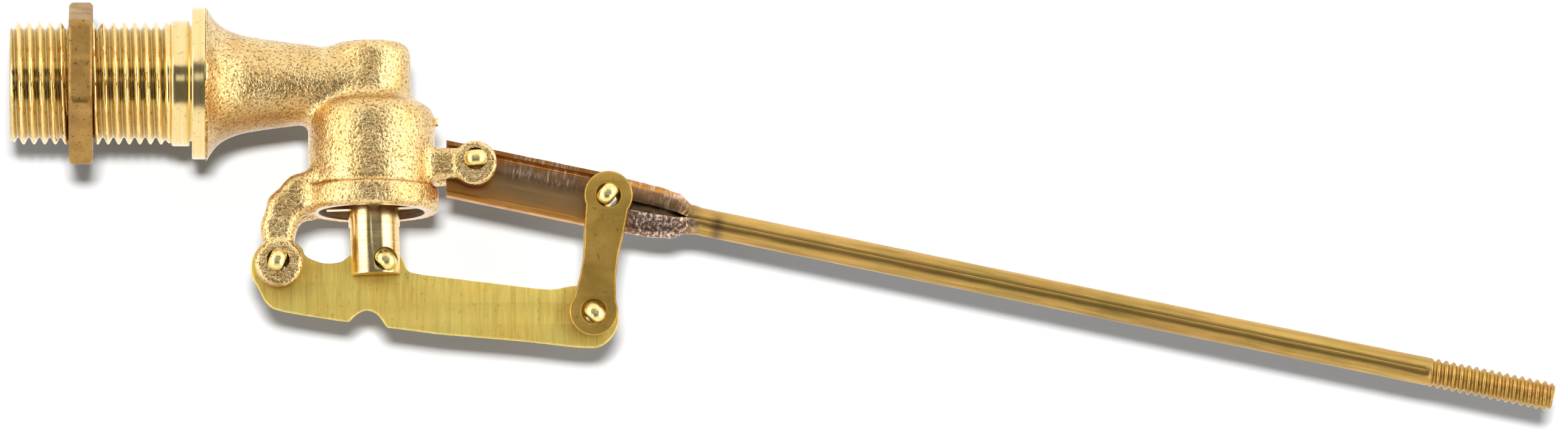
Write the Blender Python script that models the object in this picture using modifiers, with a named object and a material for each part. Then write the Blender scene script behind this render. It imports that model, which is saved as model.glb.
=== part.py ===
# Bottom-outlet float valve with compound levers.
# Frame: origin at the centre of the flange's wall-side face, +X along the inlet axis
# towards the lever arm, +Z up, metres. The valve is drawn with its arm hanging low (open).

from math import asin, cos, exp, pi, radians, sin, tan

import bmesh
import bpy
from mathutils import Matrix, Vector

# ---------------------------------------------------------------- driving sizes
GAP = 0.0003              # clearance between neighbouring pieces
TURN_STEPS = 40           # facets round a turned piece

THREAD_D = 0.020955       # outside diameter of the G 1/2 inlet thread
SPIGOT_LEN = 0.0312       # inlet end to flange face
SPIGOT_WALL = 0.0030      # thread crest to the water way
COLLAR_OVER = 0.0003      # plain collar stands this far above the thread
COLLAR_LEN = 0.0031
RELIEF_LEN = 0.0004       # groove between collar and flange
FLANGE_RIM = 0.00227      # flange stands this far above the collar
FLANGE_T = 0.0026

NECK_D = 0.0186           # straight cone of the neck, measured at the flange face
NECK_TAPER = 0.125        # radius lost along the neck
NECK_FLARE = 0.0034       # how far the trumpet's mouth stands out from the cone
NECK_FLARE_LEN = 0.0022   # distance over which the mouth dies away
NECK_BORE_D = 0.0100

TOWER_X = 0.0308          # vertical axis of seat, piston and outlet
TOWER_D = 0.0137          # small boss on top
TOWER_TOP = 0.0069
SHOULDER_Z = -0.0029      # where the boss meets the outlet chamber
CHAMBER_D = 0.0220
CHAMBER_WALL = 0.00215
CHAMBER_BOTTOM = -0.0225
BEAD_OVER = 0.00035       # bead round the outlet
BEAD_TOP = -0.0167
RING_INSET = 0.00105      # bead's corner, beside the machined face at the outlet
SEAT_Z = -0.0093          # face of the seat lip
SEAT_LIP_H = 0.0015
SEAT_LIP_D = 0.0092
ORIFICE_D = 0.0064

NUT_WALL = 0.0042         # thread crest to the nut's corners
NUT_T = 0.0041
NUT_FACE_X = -0.0170      # face that clamps the tank wall
NUT_TURN = radians(-22)   # how far a corner stands round from the front

PIN_D = 0.0024            # split pin shank
PIN_EYE_OVER = 0.0016     # eye's long side beyond the shank's diameter
PIN_EYE_H = 0.0013
PIN_LEG_LEN = 0.0042
PIN_LEG_D = 0.0012
PIN_LEG_SPREAD = radians(62)

FULCRUM_OUT = 0.0047      # lever plate's pivot, out from the chamber's side
FULCRUM_Z = -0.0321
ARM_PIVOT_OUT = 0.0069    # float arm's pivot, out from the chamber's other side
ARM_PIVOT_Z = -0.0147
LINK_TOP_X = 0.0227       # links on the float arm, from the arm's pivot
LINK_TOP_Z = -0.0052
LINK_FOOT_X = -0.0026     # links on the lever plate, from the links' upper pivot
LINK_FOOT_Z = -0.02015
PISTON_PIVOT_OFFSET = 0.0017                # piston pin beside the piston axis
PISTON_PIVOT_Z = -0.0313

LEVER_T = 0.0019
LEVER_BELOW = 0.0073      # plate below its pivot line at the fulcrum
LEVER_BELOW_FOOT = 0.0061
LEVER_ABOVE = 0.0026
LEVER_END_R = 0.0050
LINK_T = 0.0015
LINK_END_R = 0.0042
LINK_WAIST = 0.0060

BODY_ARM_T = 0.0040       # cast arms each side of the lever plate
BODY_ARM_W = 0.0054
BODY_ARM_EYE_D = 0.0083
EAR_T = 0.0036            # cast ears each side of the float arm
EAR_NECK_H = 0.0056
EAR_EYE_D = 0.0078

ARM_DROP = radians(11.8)  # slope of the float arm as drawn
ARM_AXIS_BELOW = 0.00125  # rod centre line below the arm pivot
SHEET_T = 0.00085         # strip that the arm is rolled from
CHANNEL_H = 0.0095
CHANNEL_DEPTH = 0.0034
CHANNEL_HEEL = 0.0049     # channel end behind the arm pivot
ROD_D = 0.00476
ROD_THREAD_D = 0.0050
ARM_REACH = 0.1891        # arm pivot to the rod's tip
ROD_THREAD_LEN = 0.0223

STEM_D = 0.0088
STEM_BOTTOM = -0.0335
CUP_WALL = 0.0011         # wall of the cup that holds the washer
WASHER_D = 0.0104
WASHER_T = 0.0025
SEAT_LIFT = 0.00158       # washer to seat, valve open as drawn
SCREW_HEAD_D = 0.0050
SCREW_HEAD_H = 0.0011
SCREW_D = 0.0024
SCREW_LEN = 0.0060
WING_T = 0.0022
WING_BOTTOM = -0.0219

# ---------------------------------------------------------------- derived places
INLET_BORE_D = THREAD_D - 2 * SPIGOT_WALL
COLLAR_D = THREAD_D + 2 * COLLAR_OVER
FLANGE_D = COLLAR_D + 2 * FLANGE_RIM
NUT_ACROSS_CORNERS = THREAD_D + 2 * NUT_WALL
CHAMBER_BORE_D = CHAMBER_D - 2 * CHAMBER_WALL
BEAD_D = CHAMBER_D + 2 * BEAD_OVER
RING_D = BEAD_D - 2 * RING_INSET
FULCRUM = Vector((TOWER_X - CHAMBER_D / 2 - FULCRUM_OUT, 0, FULCRUM_Z))
ARM_PIVOT = Vector((TOWER_X + CHAMBER_D / 2 + ARM_PIVOT_OUT, 0, ARM_PIVOT_Z))
LINK_TOP = ARM_PIVOT + Vector((LINK_TOP_X, 0, LINK_TOP_Z))
LINK_FOOT = LINK_TOP + Vector((LINK_FOOT_X, 0, LINK_FOOT_Z))
PISTON_PIVOT = Vector((TOWER_X + PISTON_PIVOT_OFFSET, 0, PISTON_PIVOT_Z))
PIN_HOLE_D = PIN_D + 2 * GAP
FOOT_HOLE_D = PIN_D + 2 * (GAP + 0.0003)          # loose, so the linkage never binds
LEVER_PISTON_HOLE_D = PIN_D + 2 * (GAP + 0.0002)  # loose for the same reason
HEAD_D = WASHER_D + 2 * (GAP + CUP_WALL)
WASHER_TOP = SEAT_Z - SEAT_LIFT
CUP_FLOOR = WASHER_TOP - WASHER_T - GAP
CUP_RIM = WASHER_TOP - 0.0007
LEVER_SIDE = LEVER_T / 2 + GAP                    # inner faces of the body's arms
ARM_SIDE = CHANNEL_DEPTH / 2 + GAP                # inner faces of ears and links
FRONT_TO_UP = Matrix.Rotation(pi / 2, 4, "X")     # drawing plane XY to upright XZ


# ---------------------------------------------------------------- helpers
def clear_scene():
    for item in list(bpy.data.objects):
        bpy.data.objects.remove(item, do_unlink=True)


def new_collection(name):
    made = bpy.data.collections.new(name)
    bpy.context.scene.collection.children.link(made)
    return made


def metal(name, colour, roughness, metallic=1.0):
    made = bpy.data.materials.new(name)
    made.use_nodes = True
    shader = made.node_tree.nodes["Principled BSDF"]
    shader.inputs["Base Color"].default_value = (*colour, 1)
    shader.inputs["Roughness"].default_value = roughness
    shader.inputs["Metallic"].default_value = metallic
    return made


def add_mesh(name, bm, group):
    mesh = bpy.data.meshes.new(name)
    bm.to_mesh(mesh)
    bm.free()
    obj = bpy.data.objects.new(name, mesh)
    group.objects.link(obj)
    return obj


def as_part(obj, name, finish):
    """Name the piece, shade its round faces smooth and give it its metal."""
    obj.name = name
    obj.data.name = name
    obj.data.materials.clear()
    obj.data.materials.append(finish)
    obj.data.shade_smooth()
    obj.data.set_sharp_from_angle(angle=radians(35))
    return obj


def turned(name, profile, group, place=(0, 0, 0), lay=None, steps=TURN_STEPS):
    """Solid turned about local Z from (radius, height) points, top to bottom."""
    mesh = bpy.data.meshes.new(name)
    points = [(radius, 0, height) for radius, height in profile]
    mesh.from_pydata(points, [(n, n + 1) for n in range(len(points) - 1)], [])
    obj = bpy.data.objects.new(name, mesh)
    group.objects.link(obj)
    turn = Matrix.Identity(4) if lay is None else lay
    obj.matrix_world = Matrix.Translation(place) @ turn
    screw = obj.modifiers.new("turn", "SCREW")
    screw.axis = "Z"
    screw.angle = 2 * pi
    screw.steps = steps
    screw.render_steps = steps
    screw.use_merge_vertices = True
    screw.merge_threshold = 0.00001
    return obj


def rod_between(name, start, end, diameter, group, sides=20):
    """Plain cylinder from start to end."""
    axis = Vector(end) - Vector(start)
    turn = axis.to_track_quat("Z", "Y").to_matrix().to_4x4()
    bm = bmesh.new()
    bmesh.ops.create_cone(
        bm, cap_ends=True, segments=sides,
        radius1=diameter / 2, radius2=diameter / 2, depth=axis.length,
    )
    bmesh.ops.transform(bm, verts=bm.verts, matrix=turn)
    bmesh.ops.translate(bm, verts=bm.verts, vec=(Vector(start) + Vector(end)) / 2)
    return add_mesh(name, bm, group)


def block(name, low, high, group):
    """Box between two corners."""
    low = Vector(low)
    high = Vector(high)
    bm = bmesh.new()
    bmesh.ops.create_cube(bm, size=1)
    bmesh.ops.scale(bm, verts=bm.verts, vec=high - low)
    bmesh.ops.translate(bm, verts=bm.verts, vec=(low + high) / 2)
    return add_mesh(name, bm, group)


def plate(name, outline, y_low, y_high, group, holes=()):
    """Flat plate in the XZ plane, cut to the outline, between two Y faces."""
    curve = bpy.data.curves.new(name, "CURVE")
    curve.dimensions = "2D"
    curve.fill_mode = "BOTH"
    curve.extrude = (y_high - y_low) / 2
    for loop in [outline, *holes]:
        spline = curve.splines.new("POLY")
        spline.points.add(len(loop) - 1)
        for point, (x, z) in zip(spline.points, loop):
            point.co = (x, z, 0, 1)
        spline.use_cyclic_u = True
    drawn = bpy.data.objects.new(name, curve)
    group.objects.link(drawn)
    drawn.matrix_world = Matrix.Translation((0, (y_low + y_high) / 2, 0)) @ FRONT_TO_UP
    bpy.context.view_layer.update()
    graph = bpy.context.evaluated_depsgraph_get()
    mesh = bpy.data.meshes.new_from_object(drawn.evaluated_get(graph))
    bm = bmesh.new()
    bm.from_mesh(mesh)
    bmesh.ops.remove_doubles(bm, verts=bm.verts, dist=0.000001)
    bmesh.ops.transform(bm, verts=bm.verts, matrix=drawn.matrix_world)
    bpy.data.objects.remove(drawn, do_unlink=True)
    return add_mesh(name, bm, group)


def boolean(obj, operation, tools):
    """Join or cut obj with the tools, which stay behind as hidden guides."""
    for tool in tools:
        tool.hide_render = True
        tool.display_type = "WIRE"
        step = obj.modifiers.new(tool.name, "BOOLEAN")
        step.operation = operation
        step.solver = "EXACT"
        step.object = tool
    return obj


def arc(centre, radius, start, end, count):
    """Points on an arc in the XZ plane, angles in degrees from +X towards +Z."""
    cx, cz = centre
    angles = [radians(start + (end - start) * n / count) for n in range(count + 1)]
    return [(cx + radius * cos(a), cz + radius * sin(a)) for a in angles]


def ring(centre, diameter, count=20):
    return arc((centre.x, centre.z), diameter / 2, 0, 360 * (count - 1) / count, count - 1)


def smooth(points, per_span=4):
    """Open Catmull-Rom curve through the points."""
    knots = [Vector(p) for p in points]
    padded = [2 * knots[0] - knots[1], *knots, 2 * knots[-1] - knots[-2]]
    out = []
    for n in range(len(knots) - 1):
        a, b, c, d = padded[n:n + 4]
        for step in range(per_span):
            t = step / per_span
            out.append(0.5 * (2 * b + (c - a) * t + (2 * a - 5 * b + 4 * c - d) * t ** 2
                              + (3 * b - 3 * c + d - a) * t ** 3))
    out.append(knots[-1])
    return [tuple(p) for p in out]


def local_frame(start, end):
    """Maps (along, across) in a start-to-end frame to (x, z)."""
    along = (end - start).normalized()
    across = Vector((-along.z, 0, along.x))

    def place(s, t):
        spot = start + along * s + across * t
        return (spot.x, spot.z)

    return place, (end - start).length


# ---------------------------------------------------------------- valve body
def neck_radius(x):
    """Trumpet neck: a straight cone and a mouth that dies away from the flange."""
    return NECK_D / 2 - NECK_TAPER * x + NECK_FLARE * exp(-(x - FLANGE_T) / NECK_FLARE_LEN)


def spigot_and_neck(group):
    """Thread blank, collar, flange and trumpet neck, turned about the inlet axis."""
    thread_r = THREAD_D / 2
    relief_r = thread_r - 0.0007
    undercut = 0.0001     # so that the flange's face is clear of the collar
    chamfer = 0.0008
    flare_end = FLANGE_T + 4 * NECK_FLARE_LEN
    neck = []
    for n in range(9):
        x = FLANGE_T + (flare_end - FLANGE_T) * (n / 8) ** 1.4
        neck.append((neck_radius(x), x))
    profile = [
        (0, TOWER_X),
        (neck_radius(TOWER_X), TOWER_X),
        *reversed(neck),
        (FLANGE_D / 2 - 0.0005, FLANGE_T),
        (FLANGE_D / 2, FLANGE_T - 0.0005),
        (FLANGE_D / 2, 0),
        (COLLAR_D / 2 + undercut, 0),
        (COLLAR_D / 2 + undercut, undercut),
        (relief_r, undercut),
        (relief_r, -RELIEF_LEN),
        (COLLAR_D / 2, -RELIEF_LEN),
        (COLLAR_D / 2, -RELIEF_LEN - COLLAR_LEN),
        (thread_r, -RELIEF_LEN - COLLAR_LEN - 0.0004),
        (thread_r, -SPIGOT_LEN + chamfer),
        (thread_r - chamfer, -SPIGOT_LEN),
        (0, -SPIGOT_LEN),
    ]
    return turned("spigot", profile, group, lay=Matrix.Rotation(pi / 2, 4, "Y"))


def tower(group):
    """Top boss, domed shoulder, outlet chamber and its bead."""
    boss_r = TOWER_D / 2
    chamber_r = CHAMBER_D / 2
    bead_r = BEAD_D / 2
    profile = [
        (0, TOWER_TOP),
        (boss_r - 0.0022, TOWER_TOP),
        (boss_r - 0.0007, TOWER_TOP - 0.0007),
        (boss_r, TOWER_TOP - 0.0022),
        (boss_r, SHOULDER_Z),
        (chamber_r - 0.0017, SHOULDER_Z - 0.0010),
        (chamber_r - 0.0004, SHOULDER_Z - 0.0022),
        (chamber_r, SHOULDER_Z - 0.0036),
        (chamber_r, BEAD_TOP),
        (bead_r, BEAD_TOP - 0.0008),
        (bead_r, CHAMBER_BOTTOM + 0.0016),
        (bead_r - 0.0004, CHAMBER_BOTTOM + 0.0006),
        (RING_D / 2, CHAMBER_BOTTOM),
        (0, CHAMBER_BOTTOM),
    ]
    return turned("tower", profile, group, place=(TOWER_X, 0, 0))


def water_way(group):
    """Everything the water runs through: inlet bore, neck bore, seat and chamber."""
    inlet_r = INLET_BORE_D / 2
    neck_r = NECK_BORE_D / 2
    bore_r = CHAMBER_BORE_D / 2
    orifice_r = ORIFICE_D / 2
    run = 0.0010
    across = [
        (0, TOWER_X + 0.0005),
        (neck_r, TOWER_X + 0.0005),
        (neck_r, 0.0060),
        (inlet_r, 0.0020),
        (inlet_r, -SPIGOT_LEN - run),
        (0, -SPIGOT_LEN - run),
    ]
    roof = SEAT_Z + SEAT_LIP_H
    down = [
        (0, neck_r - 0.0006),
        (neck_r * 0.75, neck_r - 0.0012),
        (neck_r, 0.0015),
        (neck_r, -0.0045),
        (orifice_r, -0.0062),
        (orifice_r, SEAT_Z),
        (SEAT_LIP_D / 2, SEAT_Z),
        (SEAT_LIP_D / 2, roof),
        (bore_r, roof),
        (bore_r, CHAMBER_BOTTOM - run),
        (0, CHAMBER_BOTTOM - run),
    ]
    return [
        turned("neck_bore", across, group, lay=Matrix.Rotation(pi / 2, 4, "Y")),
        turned("seat_bore", down, group, place=(TOWER_X, 0, 0)),
    ]


def body_arm_outline():
    """Curved arm from the chamber's side down to the fulcrum eye."""
    eye = (FULCRUM.x, FULCRUM.z)
    half = BODY_ARM_W / 2
    eye_r = BODY_ARM_EYE_D / 2
    root_x = TOWER_X - CHAMBER_D / 2 + 0.0030
    outer = smooth([
        (root_x, BEAD_TOP + 0.0034),
        (root_x - 0.0034, BEAD_TOP + 0.0019),
        (eye[0] + 0.0010, BEAD_TOP - 0.0012),
        (eye[0] - half + 0.0004, BEAD_TOP - 0.0048),
        (eye[0] - half, BEAD_TOP - 0.0085),
    ])
    inner = smooth([
        (eye[0] + half, BEAD_TOP - 0.0100),
        (eye[0] + half + 0.0003, BEAD_TOP - 0.0079),
        (eye[0] + half + 0.0022, BEAD_TOP - 0.0062),
        (root_x, BEAD_TOP - 0.0050),
    ])
    side = asin(half / eye_r) * 180 / pi
    below = arc(eye, eye_r, 90 + side, 450 - side, 16)
    return outer + below + inner


def ear_outline():
    """Ear from the chamber's side out to the arm pivot."""
    eye = (ARM_PIVOT.x, ARM_PIVOT.z)
    half = EAR_NECK_H / 2
    eye_r = EAR_EYE_D / 2
    side = asin(half / eye_r) * 180 / pi
    root_x = TOWER_X + CHAMBER_D / 2 - 0.0030
    end = arc(eye, eye_r, -180 + side, 180 - side, 18)
    return [(root_x, eye[1] + half), (root_x, eye[1] - half)] + end


def make_body(group, tools, finish):
    body = spigot_and_neck(group)
    joined = [tower(tools)]
    for side, low, high in (
        ("front", -LEVER_SIDE - BODY_ARM_T, -LEVER_SIDE),
        ("rear", LEVER_SIDE, LEVER_SIDE + BODY_ARM_T),
    ):
        joined.append(plate(side + "_body_arm", body_arm_outline(), low, high, tools))
    for side, low, high in (
        ("front", -ARM_SIDE - EAR_T, -ARM_SIDE),
        ("rear", ARM_SIDE, ARM_SIDE + EAR_T),
    ):
        joined.append(plate(side + "_ear", ear_outline(), low, high, tools))
    boolean(body, "UNION", joined)
    reach = LEVER_SIDE + BODY_ARM_T + 0.001
    holes = []
    for name, spot in (("fulcrum_hole", FULCRUM), ("arm_pivot_hole", ARM_PIVOT)):
        front = spot + Vector((0, -reach, 0))
        back = spot + Vector((0, reach, 0))
        holes.append(rod_between(name, front, back, PIN_HOLE_D, tools))
    boolean(body, "DIFFERENCE", water_way(tools) + holes)
    return as_part(body, "valve_body", finish)


# ---------------------------------------------------------------- locknut
def make_locknut(group, tools, finish):
    lay = Matrix.Rotation(pi / 2, 4, "Y")
    corner_r = NUT_ACROSS_CORNERS / 2
    middle = (NUT_FACE_X - NUT_T / 2, 0, 0)
    hexagon = [(0, NUT_T / 2), (corner_r, NUT_T / 2), (corner_r, -NUT_T / 2), (0, -NUT_T / 2)]
    round_to = Matrix.Rotation(-pi / 2 - NUT_TURN, 4, "Z")
    nut = turned("locknut", hexagon, group, place=middle, lay=lay @ round_to, steps=6)
    bore_r = THREAD_D / 2 + GAP
    mouth = 0.0006
    profile = [
        (0, NUT_T / 2 + GAP),
        (bore_r + mouth + GAP, NUT_T / 2 + GAP),
        (bore_r, NUT_T / 2 - mouth),
        (bore_r, -NUT_T / 2 + mouth),
        (bore_r + mouth + GAP, -NUT_T / 2 - GAP),
        (0, -NUT_T / 2 - GAP),
    ]
    bore = turned("nut_bore", profile, tools, place=middle, lay=lay)
    boolean(nut, "DIFFERENCE", [bore])
    return as_part(nut, "locknut", finish)


# ---------------------------------------------------------------- piston
def make_piston(group, tools, finish):
    """Slotted stem, washer cup and four guide wings."""
    head_r = HEAD_D / 2
    stem_r = STEM_D / 2
    head_foot = CUP_FLOOR - 0.0018
    profile = [
        (0, CUP_FLOOR),
        (WASHER_D / 2 + GAP, CUP_FLOOR),
        (WASHER_D / 2 + GAP, CUP_RIM),
        (head_r, CUP_RIM),
        (head_r, head_foot),
        (stem_r, head_foot - 0.0012),
        (stem_r, STEM_BOTTOM + 0.0003),
        (stem_r - 0.0003, STEM_BOTTOM),
        (0, STEM_BOTTOM),
    ]
    piston = turned("piston", profile, group, place=(TOWER_X, 0, 0))
    wing_r = CHAMBER_BORE_D / 2 - GAP - 0.0001
    half = WING_T / 2
    wing_top = CUP_RIM - 0.0008
    inside = WASHER_D / 2 + GAP + 0.0002
    wings = []
    for n, (dx, dy) in enumerate(((1, 0), (0, 1), (-1, 0), (0, -1))):
        low_r = stem_r - 0.0010
        near = Vector((TOWER_X + dx * low_r, dy * low_r, 0))
        far = Vector((TOWER_X + dx * wing_r, dy * wing_r, 0))
        side = Vector((abs(dy) * half, abs(dx) * half, 0))
        low = Vector(map(min, near, far)) - side
        high = Vector(map(max, near, far)) + side
        low.z = WING_BOTTOM
        high.z = head_foot
        wings.append(block(f"wing_{n}", low, high, tools))
        rim_near = Vector((TOWER_X + dx * (inside + 0.0003), dy * (inside + 0.0003), 0))
        low = Vector(map(min, rim_near, far)) - side
        high = Vector(map(max, rim_near, far)) + side
        low.z = head_foot - 0.0002
        high.z = wing_top
        wings.append(block(f"wing_top_{n}", low, high, tools))
    boolean(piston, "UNION", wings)
    slot_side = LEVER_T / 2 + GAP
    slot = block(
        "stem_slot",
        (TOWER_X - STEM_D, -slot_side, STEM_BOTTOM - 0.001),
        (TOWER_X + STEM_D, slot_side, PISTON_PIVOT.z + 0.0064),
        tools,
    )
    reach = Vector((0, STEM_D, 0))
    pin_hole = rod_between("stem_pin_hole", PISTON_PIVOT - reach, PISTON_PIVOT + reach, PIN_HOLE_D, tools)
    screw_hole = rod_between(
        "screw_hole",
        (TOWER_X, 0, CUP_FLOOR + 0.001),
        (TOWER_X, 0, WASHER_TOP - SCREW_LEN - GAP),
        SCREW_D + 2 * GAP,
        tools,
    )
    boolean(piston, "DIFFERENCE", [slot, pin_hole, screw_hole])
    return as_part(piston, "piston", finish)


def make_washer(group, finish):
    """Rubber disc that closes on the seat, with a hole for its screw."""
    hole_r = SCREW_D / 2 + GAP
    low = WASHER_TOP - WASHER_T
    profile = [
        (hole_r, WASHER_TOP),
        (WASHER_D / 2, WASHER_TOP),
        (WASHER_D / 2, low),
        (hole_r, low),
        (hole_r, WASHER_TOP),
    ]
    washer = turned("piston_washer", profile, group, place=(TOWER_X, 0, 0))
    return as_part(washer, "piston_washer", finish)


def make_washer_screw(group, finish):
    """Pan-head screw through the washer into the piston."""
    head_low = WASHER_TOP + GAP
    head_r = SCREW_HEAD_D / 2
    profile = [
        (0, head_low + SCREW_HEAD_H),
        (head_r * 0.7, head_low + SCREW_HEAD_H * 0.9),
        (head_r, head_low + SCREW_HEAD_H * 0.4),
        (head_r, head_low),
        (SCREW_D / 2, head_low),
        (SCREW_D / 2, WASHER_TOP - SCREW_LEN),
        (0, WASHER_TOP - SCREW_LEN),
    ]
    screw = turned("washer_screw", profile, group, place=(TOWER_X, 0, 0), steps=24)
    return as_part(screw, "washer_screw", finish)


# ---------------------------------------------------------------- levers and links
def lever_outline():
    """Plate from the fulcrum, under the stem, out to the links."""
    place, length = local_frame(FULCRUM, LINK_FOOT)
    line = (LINK_FOOT - FULCRUM).normalized()
    to_piston = PISTON_PIVOT - FULCRUM
    mid = to_piston.dot(line)
    rise = (to_piston - line * mid).length
    hump = STEM_D / 2 - 0.0002
    end = arc((0, 0), LEVER_END_R, 48, 228, 12)
    lower = smooth([
        end[-1],
        (-0.0013, -LEVER_BELOW + 0.0009),
        (0.0016, -LEVER_BELOW),
        (mid - 0.0061, -LEVER_BELOW - 0.0002),
    ])
    notch = smooth([
        (mid - 0.0042, -LEVER_BELOW - 0.0001),
        (mid - 0.0028, -LEVER_BELOW + 0.0016),
        (mid - 0.0013, -LEVER_BELOW + 0.0023),
        (mid + 0.0005, -LEVER_BELOW + 0.0018),
        (mid + 0.0023, -LEVER_BELOW),
        (mid + 0.0033, -LEVER_BELOW - 0.0001),
    ], 3)
    far = smooth([
        (mid + 0.0110, -LEVER_BELOW),
        (length - 0.0110, -LEVER_BELOW_FOOT - 0.0003),
        (length - 0.0010, -LEVER_BELOW_FOOT + 0.0001),
        (length + 0.0025, -LEVER_BELOW_FOOT + 0.0011),
        (length + 0.0043, -LEVER_BELOW_FOOT + 0.0040),
        (length + 0.0042, 0.0008),
        (length + 0.0026, 0.0034),
        (length - 0.0004, 0.0044),
        (length - 0.0040, 0.0042),
        (length - 0.0080, LEVER_ABOVE + 0.0004),
        (length - 0.0140, LEVER_ABOVE + 0.0001),
    ])
    back = smooth([
        (mid + 0.0070, LEVER_ABOVE - 0.0003),
        (mid + 0.0046, LEVER_ABOVE),
        (mid + 0.0034, rise + 0.0010),
        (mid + 0.0016, rise + hump - 0.0008),
        (mid - 0.0010, rise + hump - 0.0004),
        (mid - 0.0038, rise + 0.0022),
        (mid - 0.0060, rise + 0.0002),
        (mid - 0.0072, LEVER_ABOVE - 0.0002),
        (mid - 0.0098, LEVER_ABOVE - 0.0008),
        (0.0050, LEVER_ABOVE - 0.0004),
        (0.0038, 0.0028),
    ])
    outline = end + lower[1:] + notch + far + back
    return [place(s, t) for s, t in outline]


def make_lever(group, tools, finish):
    holes = [
        ring(FULCRUM, PIN_HOLE_D),
        ring(PISTON_PIVOT, LEVER_PISTON_HOLE_D),
        ring(LINK_FOOT, PIN_HOLE_D),
    ]
    lever = plate("lever_plate", lever_outline(), -LEVER_T / 2, LEVER_T / 2, group, holes)
    return as_part(lever, "lever_plate", finish)


def link_outline():
    """Waisted shackle plate between the two link pivots."""
    place, length = local_frame(LINK_FOOT, LINK_TOP)
    waist = LINK_WAIST / 2
    shoulder = LINK_END_R * cos(radians(30))
    right = smooth([
        (LINK_END_R * 0.5, -shoulder),
        (length * 0.30, -waist - 0.0001),
        (length * 0.50, -waist),
        (length * 0.70, -waist - 0.0004),
        (length - LINK_END_R * 0.5, -shoulder),
    ])
    left = [(s, -t) for s, t in reversed(right)]
    foot = arc((0, 0), LINK_END_R, 60, 300, 16)
    top = arc((length, 0), LINK_END_R, -120, 120, 16)
    outline = foot[:-1] + right + top[1:-1] + left[:-1]
    return [place(s, t) for s, t in outline]


def make_links(group, finish):
    holes = [ring(LINK_TOP, PIN_HOLE_D), ring(LINK_FOOT, FOOT_HOLE_D)]
    made = []
    for name, low in (("front_link", -ARM_SIDE - LINK_T), ("rear_link", ARM_SIDE)):
        link = plate(name, link_outline(), low, low + LINK_T, group, holes)
        made.append(as_part(link, name, finish))
    return made


# ---------------------------------------------------------------- float arm
def strip_point(section, length):
    """Middle of the bent strip at a length from the web's centre, and its outward side."""
    half = section["height"] / 2
    depth = section["depth"]
    bend = section["bend"]
    rear = section["rear"]
    web = half - bend
    quarter = pi / 2 * bend
    roof = depth - 2 * bend
    if length <= web:
        return Vector((rear, length)), Vector((1, 0))
    length -= web
    if length <= quarter:
        a = length / bend
        return (Vector((rear - bend + bend * cos(a), web + bend * sin(a))), Vector((cos(a), sin(a))))
    length -= quarter
    if length <= roof:
        return Vector((rear - bend - length, half)), Vector((0, 1))
    length -= roof
    if length <= quarter:
        a = pi / 2 + length / bend
        return (Vector((rear - depth + bend + bend * cos(a), web + bend * sin(a))), Vector((cos(a), sin(a))))
    length -= quarter
    return Vector((rear - depth, web - length)), Vector((-1, 0))


def strip_section(section, samples):
    """Closed outline of the strip's cross-section, as (y, up) points."""
    outside = []
    inside = []
    for n in range(-samples, samples + 1):
        upper = n >= 0
        reach = section["upper"] if upper else section["lower"]
        middle, outward = strip_point(section, reach * abs(n) / samples)
        if not upper:
            middle.y = -middle.y
            outward.y = -outward.y
        outside.append(middle + outward * section["wall"] / 2)
        inside.append(middle - outward * section["wall"] / 2)
    return outside + inside[::-1]


def arm_sections():
    """Cross-sections along the arm, from the channel's heel to the rod's tip."""
    wall = SHEET_T
    channel_h = CHANNEL_H - wall
    rear = (CHANNEL_DEPTH - wall) / 2
    bend = 0.0009
    web = channel_h / 2 - bend
    flange = web + pi / 2 * bend + rear - bend + CHANNEL_DEPTH / 2
    channel = dict(height=channel_h, depth=rear + bend + CHANNEL_DEPTH / 2, bend=bend,
                   rear=rear, upper=flange, lower=flange, wall=wall)
    curled = dict(channel, depth=CHANNEL_DEPTH - wall)

    def folded(height, depth, bend, lip_up, lip_low, rear):
        """Section whose lips stop at the given heights on its front side."""
        round_trip = height / 2 - bend + pi * bend + depth - 2 * bend
        return dict(height=height, depth=depth, bend=bend, rear=rear, wall=wall,
                    upper=round_trip + height / 2 - bend - lip_up,
                    lower=round_trip + height / 2 - bend + lip_low)

    rod_h = ROD_D - wall
    thread_h = ROD_THREAD_D - wall
    seam = 0.00018
    full = folded(channel_h * 0.92, CHANNEL_DEPTH - wall, bend, 0.0004, -0.0021, rear)
    necking = folded(channel_h * 0.80, 0.0027, 0.0011, 0.0003, -0.0015, rear + 0.0001)
    throat = folded(rod_h * 1.08, rod_h * 0.94, rod_h * 0.46, seam, -seam, rod_h / 2 - 0.0001)
    rod = folded(rod_h, rod_h, rod_h / 2 - 0.00001, seam, -seam, rod_h / 2)
    thread = folded(thread_h, thread_h, thread_h / 2 - 0.00001, seam, -seam, thread_h / 2)
    link_reach = (LINK_TOP - ARM_PIVOT).length
    thread_start = ARM_REACH - ROD_THREAD_LEN
    return [
        (-CHANNEL_HEEL, channel),
        (link_reach - 0.0026, channel),
        (link_reach - 0.0002, curled),
        (link_reach + 0.0036, full),
        (link_reach + 0.0108, necking),
        (link_reach + 0.0145, throat),
        (link_reach + 0.0172, rod),
        (thread_start, rod),
        (thread_start + 0.0004, thread),
        (ARM_REACH, thread),
    ]


def blend_sections(a, b, t):
    ease = t * t * (3 - 2 * t)
    return {key: a[key] + (b[key] - a[key]) * ease for key in a}


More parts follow.
